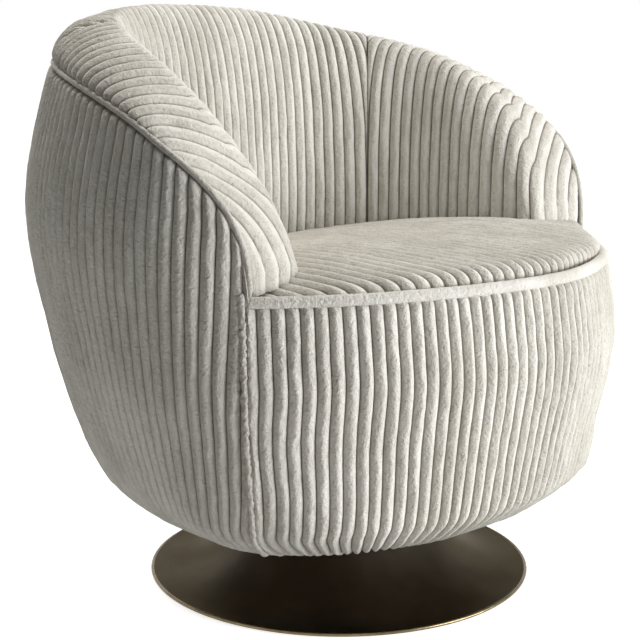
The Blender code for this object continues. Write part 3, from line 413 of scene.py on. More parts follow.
def wale_columns(low, high):
    """Wale coordinates of a grid's columns, from the lowest wale to the highest."""
    whole = np.arange(math.floor(low), math.ceil(high))
    return np.concatenate(((whole[:, None] + WALE_STEPS).ravel(), (float(math.ceil(high)),)))


# Sockets, so that maths on nodes reads as plain arithmetic
def operator(operation, swapped=False):
    def apply(self, other):
        return self.net.node("ShaderNodeMath", (other, self) if swapped else (self, other), operation=operation)
    return apply


class Socket:
    __add__ = __radd__ = operator("ADD")
    __mul__ = __rmul__ = operator("MULTIPLY")
    __sub__, __rsub__ = operator("SUBTRACT"), operator("SUBTRACT", True)
    __rtruediv__ = operator("DIVIDE", True)

    def __init__(self, net, out):
        self.net = net
        self.out = out


class Net:
    """A node tree, and the one way to add to it."""

    def __init__(self, tree):
        self.nodes = tree.nodes
        self.links = tree.links

    def node(self, kind, values=(), output=0, **settings):
        """Adds a node with its settings and inputs, and gives one of its outputs."""
        node = self.nodes.new(kind)
        for key, value in settings.items():
            setattr(node, key, value)
        pairs = values.items() if isinstance(values, dict) else enumerate(values)
        for key, value in pairs:
            self.feed(node.inputs[key], value)
        return Socket(self, node.outputs[output])

    def feed(self, socket, value):
        if isinstance(value, Socket):
            self.links.new(value.out, socket)
        elif isinstance(value, tuple) and len(value) == 3 and socket.type == "RGBA":
            socket.default_value = (*value, 1.0)
        else:
            socket.default_value = value

    def blend(self, factor, a, b):
        node = self.nodes.new("ShaderNodeMix")
        node.data_type = "RGBA"
        for key, value in ((0, factor), (6, a), (7, b)):
            self.feed(node.inputs[key], value)
        return Socket(self, node.outputs[2])


class Finish(Net):
    """A material and its nodes."""

    def __init__(self, name):
        self.material = bpy.data.materials.new(name)
        self.material.use_nodes = True
        super().__init__(self.material.node_tree)
        self.shader = self.nodes["Principled BSDF"]

    def set(self, **values):
        for key, value in values.items():
            self.feed(self.shader.inputs[key.replace("_", " ")], value)

    def where(self):
        return self.node("ShaderNodeTexCoord", output="Object")

    def noise(self, scale, detail=2.0, roughness=0.5, stretch=(1.0, 1.0, 1.0)):
        place = self.where()
        if stretch != (1.0, 1.0, 1.0):
            place = self.node("ShaderNodeMapping", {"Vector": place, "Scale": stretch})
        values = {"Vector": place, "Scale": scale, "Detail": detail, "Roughness": roughness}
        return self.node("ShaderNodeTexNoise", values, output="Fac")

    def attribute(self, name):
        return self.node("ShaderNodeAttribute", output="Fac", attribute_name=name)

    def span(self, value, low, high, to_low=0.0, to_high=1.0):
        """The value, brought from one range to another and kept inside it."""
        return self.node("ShaderNodeMapRange", (value, low, high, to_low, to_high), clamp=True)

    def bump(self, height, distance, strength=1.0):
        normal = self.node("ShaderNodeBump", {"Height": height, "Distance": distance, "Strength": strength},
                           output="Normal")
        self.feed(self.shader.inputs["Normal"], normal)


def corduroy():
    """Cream chenille pile. One side of each wale is painted darker than the other: partly the nap leaning away
    from the crest, partly painted shade on the side turned from the light. The ragged line where the pile parts
    is speckled with painted shade and painted glints, and the grooves are painted with shade."""
    f = Finish("cream_corduroy")
    pile = f.attribute("pile")
    # lean: which half of its wale a point is on; it places the nap and the painted shade on one side of each
    # wale
    lean = f.attribute("lean")
    fibre = f.noise(900.0, 2.0, 0.7)
    tuft = f.noise(400.0, 2.0, 0.6)
    brushed = f.noise(70.0, 3.0, 0.6)
    nap = f.noise(15.0, 3.0, 0.55, stretch=(1.0, 1.0, 0.45))
    ragged = lean + (tuft - 0.5) * 2.6 + (brushed - 0.5) * 1.6
    side = f.span(ragged, -0.14, 0.14)
    lay = f.span(nap * 0.6 + brushed * 0.4, 0.42, 0.60)
    # lit and shaded copies of the cream: side picks the shaded one, painted shade on the half of each wale
    # turned from the light, partly its nap
    light = f.blend(lay, (0.605, 0.584, 0.528), (0.745, 0.726, 0.680))
    dark = f.blend(lay, (0.520, 0.495, 0.440), (0.645, 0.620, 0.562))
    colour = f.blend(side, light, dark)
    crest = 1.0 - f.span(f.node("ShaderNodeMath", (ragged,), operation="ABSOLUTE"), 0.0, 0.42)
    # painted shade: dark specks in the cracks where the pile parts along the crest
    crack_shade = (1.0 - f.span(tuft * 0.5 + fibre * 0.5, 0.38, 0.50)) * crest
    colour = f.blend(crack_shade * 0.9, colour, (0.30, 0.275, 0.235))
    # painted highlight: bright glints on the fibres along the crest
    painted_glint = f.span(fibre * 0.5 + tuft * 0.5, 0.53, 0.62) * crest
    colour = f.blend(painted_glint * 0.8, colour, (0.87, 0.86, 0.83))
    # painted shade: the grooves, the seams and anything with little pile turn dark brown
    depth = f.span(pile, 0.0, 0.55)
    colour = f.blend(depth, (0.20, 0.175, 0.14), colour)
    f.set(Base_Color=colour, Roughness=0.95, Sheen_Weight=0.18, Sheen_Roughness=0.5)
    f.shader.inputs["Sheen Tint"].default_value = (1.0, 0.98, 0.95, 1.0)
    f.shader.inputs["Specular IOR Level"].default_value = 0.2
    clump = f.noise(210.0, 2.0, 0.6)
    f.bump(clump + tuft * 0.55 + fibre * 0.2, 0.0026, 0.85)
    return f.material


def bronze():
    """Dark antique bronze plate, polished in rings, with small scuffs."""
    f = Finish("antique_bronze")
    ring = f.node("ShaderNodeVectorMath", (f.where(), (1.0, 1.0, 0.0)), operation="MULTIPLY")
    radius = f.node("ShaderNodeVectorMath", (ring,), output="Value", operation="LENGTH")
    lines = f.node("ShaderNodeTexNoise", {"W": radius, "Scale": 900.0, "Detail": 3.0}, output="Fac",
                   noise_dimensions="1D")
    cloud = f.noise(9.0, 3.0, 0.6)
    colour = f.blend(f.span(cloud, 0.35, 0.65), (0.078, 0.069, 0.056), (0.118, 0.105, 0.086))
    f.set(Base_Color=colour, Metallic=1.0, Roughness=f.span(lines * 0.6 + cloud * 0.4, 0.3, 0.7, 0.30, 0.42))
    f.shader.inputs["Specular Tint"].default_value = (0.50, 0.47, 0.42, 1.0)
    f.bump(lines, 0.00015, 0.25)
    return f.material


def metal(name, dark, light, low, high, scale, grit=True):
    """Cloudy metal with fine grit, or polished."""
    f = Finish(name)
    cloud = f.noise(scale, 3.0, 0.6)
    colour = f.blend(f.span(cloud, 0.35, 0.65), dark, light)
    f.set(Base_Color=colour, Metallic=1.0, Roughness=f.span(cloud, 0.3, 0.7, low, high))
    if grit:
        f.bump(f.noise(scale * 12.0), 0.0001, 0.3)
    return f.material


def plywood():
    f = Finish("birch_plywood")
    grain = f.noise(26.0, 4.0, 0.6, stretch=(1.0, 1.0, 0.12))
    plies = f.node("ShaderNodeTexWave", {"Vector": f.where(), "Scale": 70.0, "Distortion": 0.6}, output="Fac",
                   bands_direction="Z")
    colour = f.blend(f.span(grain, 0.35, 0.65), (0.50, 0.35, 0.20), (0.66, 0.50, 0.32))
    colour = f.blend(f.span(plies, 0.0, 1.0, 0.0, 0.3), colour, (0.40, 0.27, 0.15))
    f.set(Base_Color=colour, Roughness=0.7)
    f.bump(grain, 0.0004, 0.5)
    return f.material


def matt(name, grain, low, high, dark, light, roughness, distance, strength):
    """Felt or rubber: one fine noise for the colour and the bumps."""
    f = Finish(name)
    grit = f.noise(*grain)
    f.set(Base_Color=f.blend(f.span(grit, low, high), dark, light), Roughness=roughness)
    f.bump(grit, distance, strength)
    return f.material


CORDUROY = corduroy()


# Outer covers: rows run up from the tuck under the body, round the lower corner, to the seam
TUCK_ROW, CORNER_ROW, CORNER_ROUND, COVER_HEIGHT = 0.06, 0.20, 0.027, 0.42
FRAY_DEPTH, FRAY_CELL, FRAY_REACH = 0.0016, 0.007, 0.012
# The lining's rows, how far it is lifted there, and how far it lies behind the pile
LINING = np.array(((0.0, 0.10, 0.3, 0.6, 1.0), (0.004, 0.006, 0.0, 0.0, 0.0),
                   (0.0, 0.012, 0.012, 0.012, 0.010)))


def cover_section(angle, rows):
    """(radius, z) of a cover by its row: the tuck, the rounded lower corner and the wall."""
    top = np.where(fold(angle) < CORNER_ANGLE, PIPING_Z - 0.5 * WELT_RADIUS, seam_z(angle) - 0.2 * CORD_RADIUS)
    tuck = unit(rows / TUCK_ROW)
    turn = unit((rows - TUCK_ROW) / (CORNER_ROW - TUCK_ROW)) * PI / 2.0
    up = unit((rows - CORNER_ROW) / (1.0 - CORNER_ROW))
    ahead = signed_degrees(angle)
    sag = SAG * ease(*SAG_RISE, ahead) * (1.0 - ease(*SAG_FALL, ahead)) * tuck
    z = UNDERSIDE_Z - sag + CORNER_ROUND * (1.0 - np.cos(turn))
    z = z + (top - UNDERSIDE_Z + sag - CORNER_ROUND) * up
    wall = outline_radius(angle, z) - CORNER_ROUND * (1.0 - np.sin(turn))
    return np.where(rows < TUCK_ROW, mix(plan_radius(angle) * TUCK_SHARE, wall, tuck), wall), z


def make_panel(name, node, face, back, pile, lean):
    """A corduroy panel with a plain back."""
    points, faces = shell(face, back)
    # the plain back has no pile, so the corduroy paints it with the full groove shade
    hidden = np.zeros(back.shape[0] * back.shape[1])
    values = {"pile": np.concatenate((pile.ravel(), hidden)), "lean": np.concatenate((lean.ravel(), hidden))}
    piece = finish_mesh(name, points, faces, values, CORDUROY, "seat")
    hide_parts(node)


def cover(name, node, back, row_count, seed):
    """An outer cover. On the wrap the corner seams cut across the outermost wales."""
    rows = np.linspace(0.0, 1.0, row_count)[:, None]
    lean = smooth_through(SEAM_LEAN, cover_section(CORNER_ANGLE, rows)[1])
    corner = np.radians(lean) + (GAP if back else -GAP)
    share = np.linspace(0.0, 1.0, 1401)[None, :]
    sweep = mix(corner, 2.0 * PI - corner, share) if back else mix(-corner, corner, share)
    run = run_length(polar(sweep, cover_section(sweep, np.maximum(rows, CORNER_ROW))[0], 0.0), axis=1)
    cut = back * mix(0.9, -0.36, unit(rows * 1.4 - 0.3))
    field = (run / run[:, -1:] * 2.0 - 1.0) * (round(run.max() / WALE_PITCH / 2.0) + cut)
    low, high = field[:, :1], field[:, -1:]
    wale = np.clip(wale_columns(low.min(), high.max())[None, :], low, high)
    moved = np.clip(wander(wale, np.broadcast_to(rows * COVER_HEIGHT, wale.shape), seed), low, high)
    angle = interp_rows(moved, field, sweep)
    radius, z = cover_section(angle, rows)
    base = polar(angle, radius, z)
    under = unit(1.0 - rows / 0.12)[..., None] * np.array((0.0, 0.0, -1.0))
    outward = (polar(angle, 1.0, 0.0 * z) - polar(angle, 0.0, 0.0 * z)) * (rows > 0.03)[..., None] + under
    normal = grid_normals(base, outward)
    up = run_length(base)
    beside = np.minimum(wale - low, high - wale) * WALE_PITCH
    edge = np.minimum(up[-1] - up, beside + 0.003)
    drop, pile = relief(wale, edge, base, seed)
    fray = unit(1.0 - beside / FRAY_REACH)
    drop = drop + FRAY_DEPTH * lattice(base, FRAY_CELL, seed + 4) * fray
    face = puffed(node, base - normal * drop[..., None], normal, edge)
    inner = (LINING[0] * (row_count - 1)).astype(int)
    lift, thick = LINING[1][:, None], LINING[2][:, None]
    lining = polar(angle[inner], radius[inner] - thick, z[inner] + lift)
    make_panel(name, node, face, lining, pile, shade_side(wale))


# Inner pads: rows run from the outer seam over the crest, down to the seat and a little below it
CREST_ROW, SEAT_ROW, WALL_ROWS, TAIL_ROWS, TAIL, NOSE_BULGE = 0.3, 0.95, 0.65, 0.05, 0.03, 0.012
PAD_THICKNESS = np.array((0.006, 0.026, 0.026, 0.026))


def pad_points(angle, rows):
    seam = seam_z(angle) + 0.0012
    seam_r = outline_radius(angle, seam) - 0.0012
    lift = smooth_through(CREST_LIFT, np.degrees(angle) % 360.0)
    top_z = np.maximum(crest_z(angle) + lift, seam + 0.006)
    share = (fold(angle) - CORNER_ANGLE) / (PI - CORNER_ANGLE)
    top_r = seam_r - mix(ROLL_FRONT_WIDTH, ROLL_BACK_WIDTH, share)
    wall_r = seat_radius(angle)
    turn = unit(rows / CREST_ROW) * PI / 2.0
    roll = (top_r + (seam_r - top_r) * np.cos(turn), seam + (top_z - seam) * np.sin(turn))
    t = unit((rows - CREST_ROW) / WALL_ROWS)
    s = 1.0 - t
    reach = np.minimum(ROLL_REACH, top_r - wall_r)
    lean_r = mix(wall_r, top_r - reach, LEAN_SHARE)
    lean_z = mix(PIPING_Z, top_z, LEAN_SHARE)
    wall = [s**3 * a + 3 * s * s * t * b + 3 * s * t * t * c + t**3 * d for a, b, c, d in
            ((top_r, top_r - reach, lean_r, wall_r), (top_z, top_z, lean_z, PIPING_Z))]
    low = unit((rows - SEAT_ROW) / TAIL_ROWS) * TAIL
    over = rows < CREST_ROW
    return polar(angle, np.where(over, roll[0], wall[0]), np.where(over, roll[1], wall[1]) - low)


def pad_rows(row_count):
    roll, tail = row_count // 3, 4
    return np.concatenate((np.linspace(0.0, CREST_ROW, roll, endpoint=False),
                           np.linspace(CREST_ROW, SEAT_ROW, row_count - roll - tail, endpoint=False),
                           np.linspace(SEAT_ROW, 1.0, tail)))


def wale_field(angles, rows, middle):
    """Wales counted from the first angle by the length in plan. The surplus of the longer upper rows
    runs out into the front edge as far as it has room there, and into the back seam."""
    points = pad_points(angles[None, :], rows[:, None])
    flat = points * np.array((1.0, 1.0, 0.0))
    run = run_length(flat, axis=1)
    if middle:
        return run / WALE_PITCH
    pitch = mix(FRONT_PITCH, WALE_PITCH, ease(0.03, 0.14, run[:, -1:] - run))
    steps = np.diff(run, axis=1) / (0.5 * (pitch[:, 1:] + pitch[:, :-1]))
    field = np.concatenate((0.0 * run[:, :1], np.cumsum(steps, axis=1)), axis=1)
    room = np.linalg.norm(flat[:, -1] - flat[-1, -1], axis=1) / NOSE_PITCH
    return field + (field[-1, -1] + room - field[:, -1])[:, None]


def pad_angles(start, end, count):
    """Angles that divide the crest between two angles into equal lengths."""
    sweep = np.linspace(start, end, 4000)
    run = run_length(pad_points(sweep, np.full_like(sweep, CREST_ROW)))
    return np.interp(np.linspace(0.0, run[-1], count), run, sweep)


def pad_normals(angle, rows, first, last):
    """A pad's plain normals, measured between two angles or, without them, all round."""
    step, turn = 0.0005, 0.002
    along = pad_points(angle, unit(rows + step))
    along = along - pad_points(angle, unit(rows - step))
    inside = angle if first is None else np.clip(angle, min(first, last) + turn, max(first, last) - turn)
    across = pad_points(inside + turn, rows)
    across = across - pad_points(inside - turn, rows)
    normal = np.cross(across, along)
    normal /= np.maximum(norm(normal), 1e-12)
    over = np.where(rows < CREST_ROW, np.cos(rows / CREST_ROW * PI / 2.0), -ease(CREST_ROW, 0.5, rows))
    hint = polar(angle, over * np.ones_like(angle), 1.0 - ease(0.4, 0.9, rows)) - polar(angle, 0.0, 0.0)
    return facing(normal, hint)


def add_nose(spots, wale, order, field, lengths):
    """Columns from a wing's last wale to its front end, and three more that turn in there."""
    last = interp_rows(spots[:, -1:], order, lengths)
    steps = mix(last, lengths[:, -1:], np.linspace(0.1, 1.0, 10))
    nose = interp_rows(steps, lengths, order)
    ends = interp_rows(nose, order, field)
    turned_in = 3
    return (np.concatenate((spots, nose, nose[:, -1:].repeat(turned_in, 1)), axis=1),
            np.concatenate((wale, ends, ends[:, -1:].repeat(turned_in, 1)), axis=1))


def pad(name, node, seam, front, row_count, seed, side=1.0, mirror=False):
    """An inner pad between its back seam (or the middle of the back) and an angle nearer the front."""
    rows = pad_rows(row_count)
    sweep = pad_angles(seam, front, 420)
    field = wale_field(sweep, rows, mirror)
    if mirror:
        field = np.concatenate((-field[:, :0:-1], field), axis=1)
        sweep = np.concatenate((2.0 * PI - sweep[:0:-1], sweep))
    low, high = field[:, :1], field[:, -1:]
    line = pad_points(sweep[None, :], rows[:, None])
    down, lengths = run_length(line), run_length(line, axis=1)
    stop = high if mirror else high - 0.12
    wale = np.clip(wale_columns(low.min(), high.max())[None, :], low, stop)
    middle = down[:, down.shape[1] // 2][:, None]
    moved = np.clip(wander(wale, np.broadcast_to(middle, wale.shape), seed), low, stop)
    order = np.arange(len(sweep))
    spots = interp_rows(moved, field, order)
    if not mirror:
        spots, wale = add_nose(spots, wale, order, field, lengths)
    angle = np.interp(spots, order, sweep)
    rows = rows[:, None]
    base = pad_points(angle, rows)
    normal = pad_normals(angle, rows, None if mirror else seam, front)
    at = interp_rows(spots, order, lengths)
    seam_edge = at + GAP
    if mirror:
        seam_edge = np.minimum(seam_edge, lengths[:, -1:] - at + GAP)
    edge = np.minimum(interp_rows(spots, order, down), seam_edge)
    if not mirror:
        bulge = NOSE_BULGE * np.sin(PI * down[:, -1:] / down[-1, -1])
        near = 1.0 - unit((lengths[:, -1:] - at) / 0.10)
        base[..., 1] -= bulge * near * near
        base[:, -4:, 2] -= np.arange(4) * 0.007
        normal[:, -3:] = 0.3 * normal[:, -3:] + np.array((0.0, -0.9, 0.0))
    drop, pile = relief(wale, edge, base, seed)
    drop = drop * (1.0 - 0.4 * np.exp(-(((rows - 0.34) / 0.09) ** 2)))
    face = base - normal * drop[..., None]
    if mirror:
        face = puffed(node, face, normal, edge)
    inner = [0, len(rows) // 3, 2 * len(rows) // 3, len(rows) - 1]
    back = base[inner] - normal[inner] * PAD_THICKNESS[:, None, None]
    # side picks which half of each wale takes the painted shade; the right wing has it flipped
    make_panel(name, node, face, back, pile, shade_side(wale, side))


# Pipings and corner seams
def tube_nodes():
    """A frayed plush tube round a path whose points carry their own thickness."""
    tree = bpy.data.node_groups.new("plush_tube", "GeometryNodeTree")
    sizes = {"Path": "Geometry", "Sides": "Int", "Fray": "Float", "Tuft": "Float", "Seed": "Float",
             "Pile": "Float", "Lean": "Float", "Fabric": "Material"}
    for name, kind in sizes.items():
        tree.interface.new_socket(name, in_out="INPUT", socket_type="NodeSocket" + kind)
    tree.interface.new_socket("Tube", in_out="OUTPUT", socket_type="NodeSocketGeometry")
    n = Net(tree)
    given = {name: n.node("NodeGroupInput", output=name) for name in sizes}
    thick = n.node("GeometryNodeInputNamedAttribute", {"Name": "thick"}, output="Attribute", data_type="FLOAT")
    path = n.node("GeometryNodeMeshToCurve", {"Mesh": given["Path"]}, output="Curve")
    circle = {"Resolution": given["Sides"], "Radius": 1.0}
    ring = n.node("GeometryNodeCurvePrimitiveCircle", circle, output="Curve")
    around = {"Curve": path, "Profile Curve": ring, "Scale": thick, "Fill Caps": True}
    tube = n.node("GeometryNodeCurveToMesh", around, output="Mesh")
    place = {"Vector": n.node("GeometryNodeInputPosition"), "W": given["Seed"], "Scale": 1.0 / given["Tuft"]}
    tufts = n.node("ShaderNodeTexNoise", place, output="Fac", noise_dimensions="4D")
    swell = {0: n.node("GeometryNodeInputNormal"), "Scale": (tufts - 0.5) * 4.0 * given["Fray"] * thick}
    shift = n.node("ShaderNodeVectorMath", swell, operation="SCALE")
    tube = n.node("GeometryNodeSetPosition", {"Geometry": tube, "Offset": shift})
    for name in ("Pile", "Lean"):
        values = {"Geometry": tube, "Name": name.lower(), "Value": given[name]}
        tube = n.node("GeometryNodeStoreNamedAttribute", values, data_type="FLOAT", domain="POINT")
    tube = n.node("GeometryNodeSetShadeSmooth", {"Geometry": tube})
    tube = n.node("GeometryNodeRealizeInstances", {"Geometry": tube})
    tube = n.node("GeometryNodeSetMaterial", {"Geometry": tube, "Material": given["Fabric"]})
    n.feed(tree.nodes.new("NodeGroupOutput").inputs["Tube"], tube)
    return tree


TUBE = tube_nodes()
# Pile and Lean feed the corduroy's painted shade: the cord and the corner ridges take part of the painted
# groove shade, and a Lean below zero gives mostly the lit copy of the cream
PLUSH = {"Sides": 16, "Fray": 0.05, "Tuft": 0.014, "Pile": 0.8, "Lean": -0.3}
CORD = {**PLUSH, "Sides": 10, "Fray": 0.15, "Pile": 0.42}
RIDGE = {"Sides": 14, "Fray": 0.42, "Tuft": 0.0055, "Pile": 0.48, "Lean": 0.0}
RIDGE_RADIUS, RIDGE_INSET = 0.0037, 0.0024


def soft_tube(name, node, path, radius, seed, sizes):
    """A plush tube along a path, rounded at both ends."""
    count = len(path)
    ends = np.sin(unit(np.minimum(np.arange(count), np.arange(count)[::-1]) / 3.0) * PI / 2.0)
    line = bpy.data.meshes.new(name)
    line.from_pydata(path.tolist(), [(k, k + 1) for k in range(count - 1)], [])
    store(line, "thick", radius * mix(0.35, 1.0, ends))
    piece = add_object(name, line)
    wrap = piece.modifiers.new("plush_tube", "NODES")
    wrap.node_group = TUBE
    sizes = {"Seed": seed, "Fabric": CORDUROY, **sizes}
    for socket in TUBE.interface.items_tree:
        if socket.name in sizes:
            wrap[socket.identifier] = sizes[socket.name]
    tube = bpy.data.meshes.new_from_object(evaluated(piece))
    piece.modifiers.clear()
    piece.data = tube
    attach(piece, "seat")
    if node:
        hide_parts(node)


def welt_radius(angle):
    """The front piping is a little thinner towards the left arm."""
    return mix(0.0079, 0.0063, ease(-CORNER_ANGLE, CORNER_ANGLE, angle))


def cord_path(angle):
    return polar(angle, outline_radius(angle, seam_z(angle)) - 1.5 * CORD_RADIUS, seam_z(angle))


def make_piping():
    ends = math.radians(SEAM_LEAN[-1][1]) + 0.004
    angle = np.linspace(-ends, ends, 460)
    path = polar(angle, outline_radius(angle, PIPING_Z) - welt_radius(angle), PIPING_Z)
    soft_tube("plush_welt", "seat_welt", path, welt_radius(angle), 61.0, PLUSH)
    angle = np.linspace(CORNER_ANGLE, 2.0 * PI - CORNER_ANGLE, 4000)
    run = run_length(cord_path(angle))
    even = np.interp(np.linspace(0.0, run[-1], 640), run, angle)
    soft_tube("seam_cord", "roll_piping", cord_path(even), CORD_RADIUS, 71.0, CORD)
    z = np.linspace(PIPING_Z + 0.010, UNDERSIDE_Z + 0.012, 260)
    for name, side, seed in (("corner_seam_left", 1.0, 73), ("corner_seam_right", -1.0, 75)):
        sway = 0.004 * lattice(np.stack((z, 0.0 * z, 0.0 * z), axis=-1), 0.05, seed)
        angle = side * np.radians(smooth_through(SEAM_LEAN, z)) + sway
        path = polar(angle, outline_radius(angle, z) - RIDGE_INSET, z)
        soft_tube(name, None, path, RIDGE_RADIUS, float(seed), RIDGE)


# Seat cushion: it lies a little inside the pads
CUSHION_GAP = 0.0006
CUSHION_HALF, CUSHION_DEPTH = SEAT_HALF_WIDTH - CUSHION_GAP, SEAT_BACK_DEPTH - CUSHION_GAP
# Left and right values, mixed across the seat
EDGE_CROWN, EDGE_START, SIDE_FALL, CORNER_FALL = (0.014, 0.017), (0.002, 0.001), (0.009, 0.003), (0.014, 0.0)
EDGE_REACH, CROWN, CROWN_REACH = 0.026, 0.013, 0.15
BACK_FALL, BACK_FALL_FROM, SUNK, SUNK_REACH = 0.032, 0.36, 0.006, 0.016
# The rings that close the cushion below: height, and how far drawn in
BELOW = ((PIPING_Z - 0.020, 0.004), (0.325, 0.010))


def front_edge(x):
    """The cushion's front edge, behind the welt at the left and on it at the right, and where it ends."""
    angle = np.linspace(CORNER_ANGLE, -CORNER_ANGLE, 1200)
    inward = mix(1.0, 2.0, ease(-0.55, -0.15, angle)) * welt_radius(angle) + 0.0012
    edge = polar(angle, outline_radius(angle, PIPING_Z) - inward, 0.0)
    return np.interp(x, edge[:, 0], edge[:, 1]), -edge[0, 0], edge[-1, 0]


def cushion_columns():
    """The cushion's wales, their places across the seat, how far out each is on a front corner, and which of
    them run back between the arms."""
    inner = round(CUSHION_HALF / CUSHION_PITCH)
    _, left_tip, right_tip = front_edge(0.0)
    outer = round((left_tip - CUSHION_HALF) / CUSHION_PITCH)
    wale = wale_columns(-inner - outer, inner + outer)
    centre = np.abs(wale) <= inner
    tip = np.where(wale > 0.0, right_tip, left_tip) + 0.002
    out = CUSHION_HALF + (np.abs(wale) - inner) * (tip - CUSHION_HALF) / outer
    x = np.where(centre, wale * CUSHION_HALF / inner, np.sign(wale) * out)
    corner = unit((np.abs(x) - CUSHION_HALF) / (tip - CUSHION_HALF))
    return wale, x, corner, centre


def cushion_rows(front, nose, rear, nose_rows, seat_rows):
    """Rows to the line of the arms' front ends, and on to the rear edge."""
    share = np.linspace(0.0, 1.0, nose_rows)[:, None]
    crowded = 1.0 - np.cos(share * PI / 2.0 * 0.999)
    ahead = mix(front, np.maximum(nose, front + 0.002), mix(share, crowded, 0.55))
    share = np.linspace(0.0, 1.0, seat_rows)[1:, None]
    share = mix(share, np.sin(share * PI / 2.0), 0.5)
    return np.concatenate((ahead, mix(nose, np.maximum(rear, nose + 0.002), share)))


def close_below(top, loop, middle):
    """A grid's points with the rings under its outer loop, and the faces between them."""
    loop_line = top.reshape(-1, 3)[loop]
    rings = []
    for level, pull in BELOW:
        away = loop_line - middle
        away[:, 2] = 0.0
        away /= norm(away)
        ring = loop_line - away * pull
        ring[:, 2] = level
        rings.append(ring)
    start, n = len(top.reshape(-1, 3)), len(loop)
    chain = [np.array(loop), start + np.arange(n), start + n + np.arange(n)]
    faces = []
    for a, b in zip(chain, chain[1:]):
        faces += [[int(a[k]), int(a[(k + 1) % n]), int(b[(k + 1) % n]), int(b[k])] for k in range(n)]
    faces.append(chain[-1].tolist())
    return np.concatenate((top.reshape(-1, 3), *rings)), faces


def make_cushion():
    """A crowned cushion with wales from front to back; its front corners reach round the arms."""
    wale, x, corner, centre = cushion_columns()
    front = front_edge(x)[0]
    nose = BODY_CENTRE_Y - np.abs(x) / math.tan(CORNER_ANGLE)
    nose = nose + 0.006 * ease(CUSHION_HALF - 0.012, CUSHION_HALF, np.abs(x))
    squareness = (np.abs(x) / (CUSHION_HALF + CUSHION_GAP)) ** SEAT_SQUARENESS
    rear = BODY_CENTRE_Y + CUSHION_DEPTH * unit(1.0 - squareness) ** (1.0 / SEAT_SQUARENESS)
    nose_rows = 52
    y = cushion_rows(front, nose, rear, nose_rows, 60)
    xx = np.broadcast_to(x, y.shape)
    to_front = np.clip(y - front, 0.0, None)
    to_back = np.where(centre, np.clip(rear - y, 0.0, None), np.clip(nose - y, 0.0, None))
    to_side = np.where(centre & (y > nose), np.clip(CUSHION_HALF - np.abs(xx), 0.0, None), 1.0)
    fall = 1.0 - unit((BODY_CENTRE_Y + CUSHION_DEPTH - y) / BACK_FALL_FROM)
    aside = unit(np.abs(xx) / CUSHION_HALF)
    right = ease(0.06, 0.24, xx)
    crown = mix(*EDGE_CROWN, right) * lobe(to_front + mix(*EDGE_START, right), EDGE_REACH)
    crown = crown + CROWN * lobe(to_front, CROWN_REACH)
    crown = crown - mix(*SIDE_FALL, right) * aside**4 - BACK_FALL * fall**2
    sunk = SUNK * (1.0 - lobe(np.minimum(to_back, to_side) + 0.001, SUNK_REACH))
    z = PIPING_Z + 0.003 + crown - corner * mix(*CORNER_FALL, ease(-0.1, 0.1, xx)) - sunk
    base = np.stack((xx, y, z), axis=-1)
    normal = grid_normals(base, np.broadcast_to((0.0, 0.0, 1.0), base.shape))
    edge = np.minimum(np.minimum(to_front + 0.002, to_back + 0.004), to_side + 0.002)
    drop, pile = relief(np.broadcast_to(wale, y.shape), edge, base, 41)
    top = puffed("seat_cushion", base - normal * (drop * 0.95)[..., None], normal, edge)
    index = np.arange(y.size).reshape(y.shape)
    inside = np.flatnonzero(centre)
    left, past = inside[0], inside[-1] + 1
    loop = [*index[0], *index[1:nose_rows, -1], *index[nose_rows - 1, past - 1:-1][::-1],
            *index[nose_rows:, past - 1], *index[-1, left:past - 1][::-1], *index[nose_rows:-1, left][::-1],
            *index[nose_rows - 1, 1:left + 1][::-1], *index[1:nose_rows, 0][::-1]]
    middle = np.array((0.0, mix(front_edge(0.0)[0], BODY_CENTRE_Y + CUSHION_DEPTH, 0.5), 0.0))
    points, skirt = close_below(top, loop, middle)
    faces = grid_faces(index[:nose_rows]) + grid_faces(index[nose_rows - 1:][:, left:past]) + skirt
    # the cushion's wales take the painted shade on the other half from the covers'
    lean = np.broadcast_to(shade_side(wale, -1.0), y.shape)
    n = len(loop)
    # the skirt's rings carry less pile, so the painted groove shade darkens the cushion's side towards its
    # underside
    pile = np.concatenate((pile.ravel(), np.full(n, 0.5), np.zeros(n)))
    lean = np.concatenate((lean.ravel(), np.zeros(2 * n)))
    used = np.ones(len(points), bool)
    used[index[nose_rows:, :left]] = False
    used[index[nose_rows:, past:]] = False
    renumber = np.cumsum(used) - 1
    faces = [[int(renumber[v]) for v in face] for face in faces]
    values = {"pile": pile[used], "lean": lean[used]}
    piece = finish_mesh("crowned_cushion", points[used], faces, values, CORDUROY, "seat")
    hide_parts("seat_cushion")


# Pedestal: its rim, and the flange that carries the swivel
RIM_RADIUS, BEAD, RIM_GAP, FLANGE_RADIUS, FLANGE_Z = 0.2445, 0.0022, 0.001, 0.104, 0.0957
FLANGE_LIP, BORE, SHEET, TRUMPET_POWER, TURN_SIDES = 0.09, 0.022, 0.0016, 2.4, 192


def turned(name, profile, material):
    """A closed line of (radius, z) points, turned about the upright axis."""
    turn = np.linspace(0.0, 2.0 * PI, TURN_SIDES + 1)[:-1]
    points = np.stack((profile[:, None, 0] * np.cos(turn), profile[:, None, 0] * np.sin(turn),
                       np.broadcast_to(profile[:, None, 1], (len(profile), len(turn)))), axis=-1)
    index = np.arange(points.shape[0] * points.shape[1]).reshape(points.shape[:2])
    wrapped = np.pad(index, ((0, 1), (0, 1)), "wrap")
    return finish_mesh(name, points, grid_faces(wrapped), {}, material, "base")


